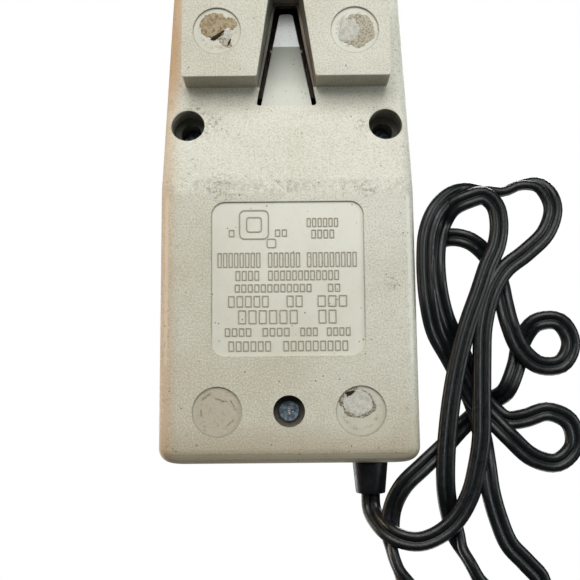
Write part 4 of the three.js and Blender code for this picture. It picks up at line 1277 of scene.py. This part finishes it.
# Each patch: seat, offset from the seat's centre, radius, stretch in x and y, turn in degrees, depth,
# raggedness and material.
PATCHES = [
    ("front_left", -1.0, -2.2, 5.7, 1.06, 0.90, 0, 0.50, 0.13, tan),
    ("front_left", 5.0, -3.0, 2.5, 1.05, 1.15, 20, 0.52, 0.26, tan),
    ("front_left", 2.9, 3.2, 3.0, 0.80, 1.25, -25, 0.54, 0.24, crumbs),
    ("front_left", 4.2, 1.2, 1.8, 1.0, 1.5, 10, 0.50, 0.30, white),
    # The three dark patches in the front left seat are painted shadow under the torn lower edge of the tan
    # patch.
    ("front_left", -0.1, 2.3, 2.0, 1.35, 0.42, -28, 0.42, 0.30, dark),
    ("front_left", 2.1, 0.5, 0.9, 1.5, 0.45, -40, 0.42, 0.35, dark),
    ("front_left", 4.9, 4.8, 1.0, 0.42, 1.5, 24, 0.42, 0.35, dark),
    ("front_right", 1.2, 0.2, 7.0, 0.98, 0.98, 0, 0.62, 0.11, crumbs),
    ("front_right", -2.4, 0.0, 4.3, 0.95, 1.12, 0, 0.55, 0.20, white),
    ("rear_left", 0.0, 0.0, 9.15, 1.0, 1.0, 0, 0.77, 0.006, faint),
    ("rear_left", -4.1, -5.9, 1.1, 2.1, 0.40, -36, 0.74, 0.55, stain),
    ("rear_left", 1.4, -4.4, 1.3, 1.9, 0.30, 16, 0.74, 0.60, stain),
    ("rear_left", 5.9, -3.0, 0.9, 1.9, 0.36, 58, 0.74, 0.60, stain),
    ("rear_left", 5.0, 4.2, 0.9, 2.2, 0.30, -42, 0.74, 0.60, stain),
    ("rear_left", -6.1, 0.4, 0.8, 0.4, 1.9, 0, 0.74, 0.60, stain),
    ("rear_right", -1.5, -3.0, 6.1, 1.12, 0.94, 0, 0.70, 0.13, grey),
    ("rear_right", -1.3, -3.1, 5.3, 1.08, 0.93, 0, 0.62, 0.13, white),
    ("rear_right", -4.1, -6.7, 1.5, 1.3, 0.55, -24, 0.50, 0.35, dark),
    ("rear_right", 2.3, 1.6, 1.2, 1.6, 0.35, -30, 0.66, 0.45, grey),
]
for count, (seat, dx, dy, r, across, along, turn, depth, ragged, finish) in enumerate(PATCHES):
    end, side = seat.split("_")
    x = FOOT_X * (1 if side == "right" else -1) + dx
    y = (FOOT_FRONT_Y if end == "front" else FOOT_REAR_Y) + dy
    patch = blob(f"residue_{seat}_{count}", (x, y), r, count, depth, (across, along), turn, ragged)
    smooth(patch, 70)
    dress(patch, finish, "housing", "old_adhesive", f"foot_residue_{seat}")

zinc_with_painted_highlight = screw_steel("zinc_with_painted_highlight")
FINISHES = {
    "zinc_steel": metal("zinc_plate", (150, 158, 168)),
    "lamination_steel": metal("lamination", (110, 112, 118), 0.45),
    "tool_steel": metal("tool_steel", (185, 188, 192), 0.25),
    "copper": metal("copper_wire", (190, 108, 62), 0.35, 0.5, (0.06, 1, 1)),
    "brass": metal("brass", (205, 172, 104), 0.28),
    "white_nylon": plain_plastic("nylon", (222, 216, 200), 0.4, 0.01, 0.6, 0.25),
    "black_plastic": black,
}
for piece in frame["record"]["subparts"]:
    node = frame["nodes"][piece["node"]]
    finish = FINISHES.get(piece["material_slot"])
    if piece["node"].startswith("base_screw"):
        finish = zinc_with_painted_highlight
    if finish and not node.hide_render:
        node.data.materials.clear()
        node.data.materials.append(finish)
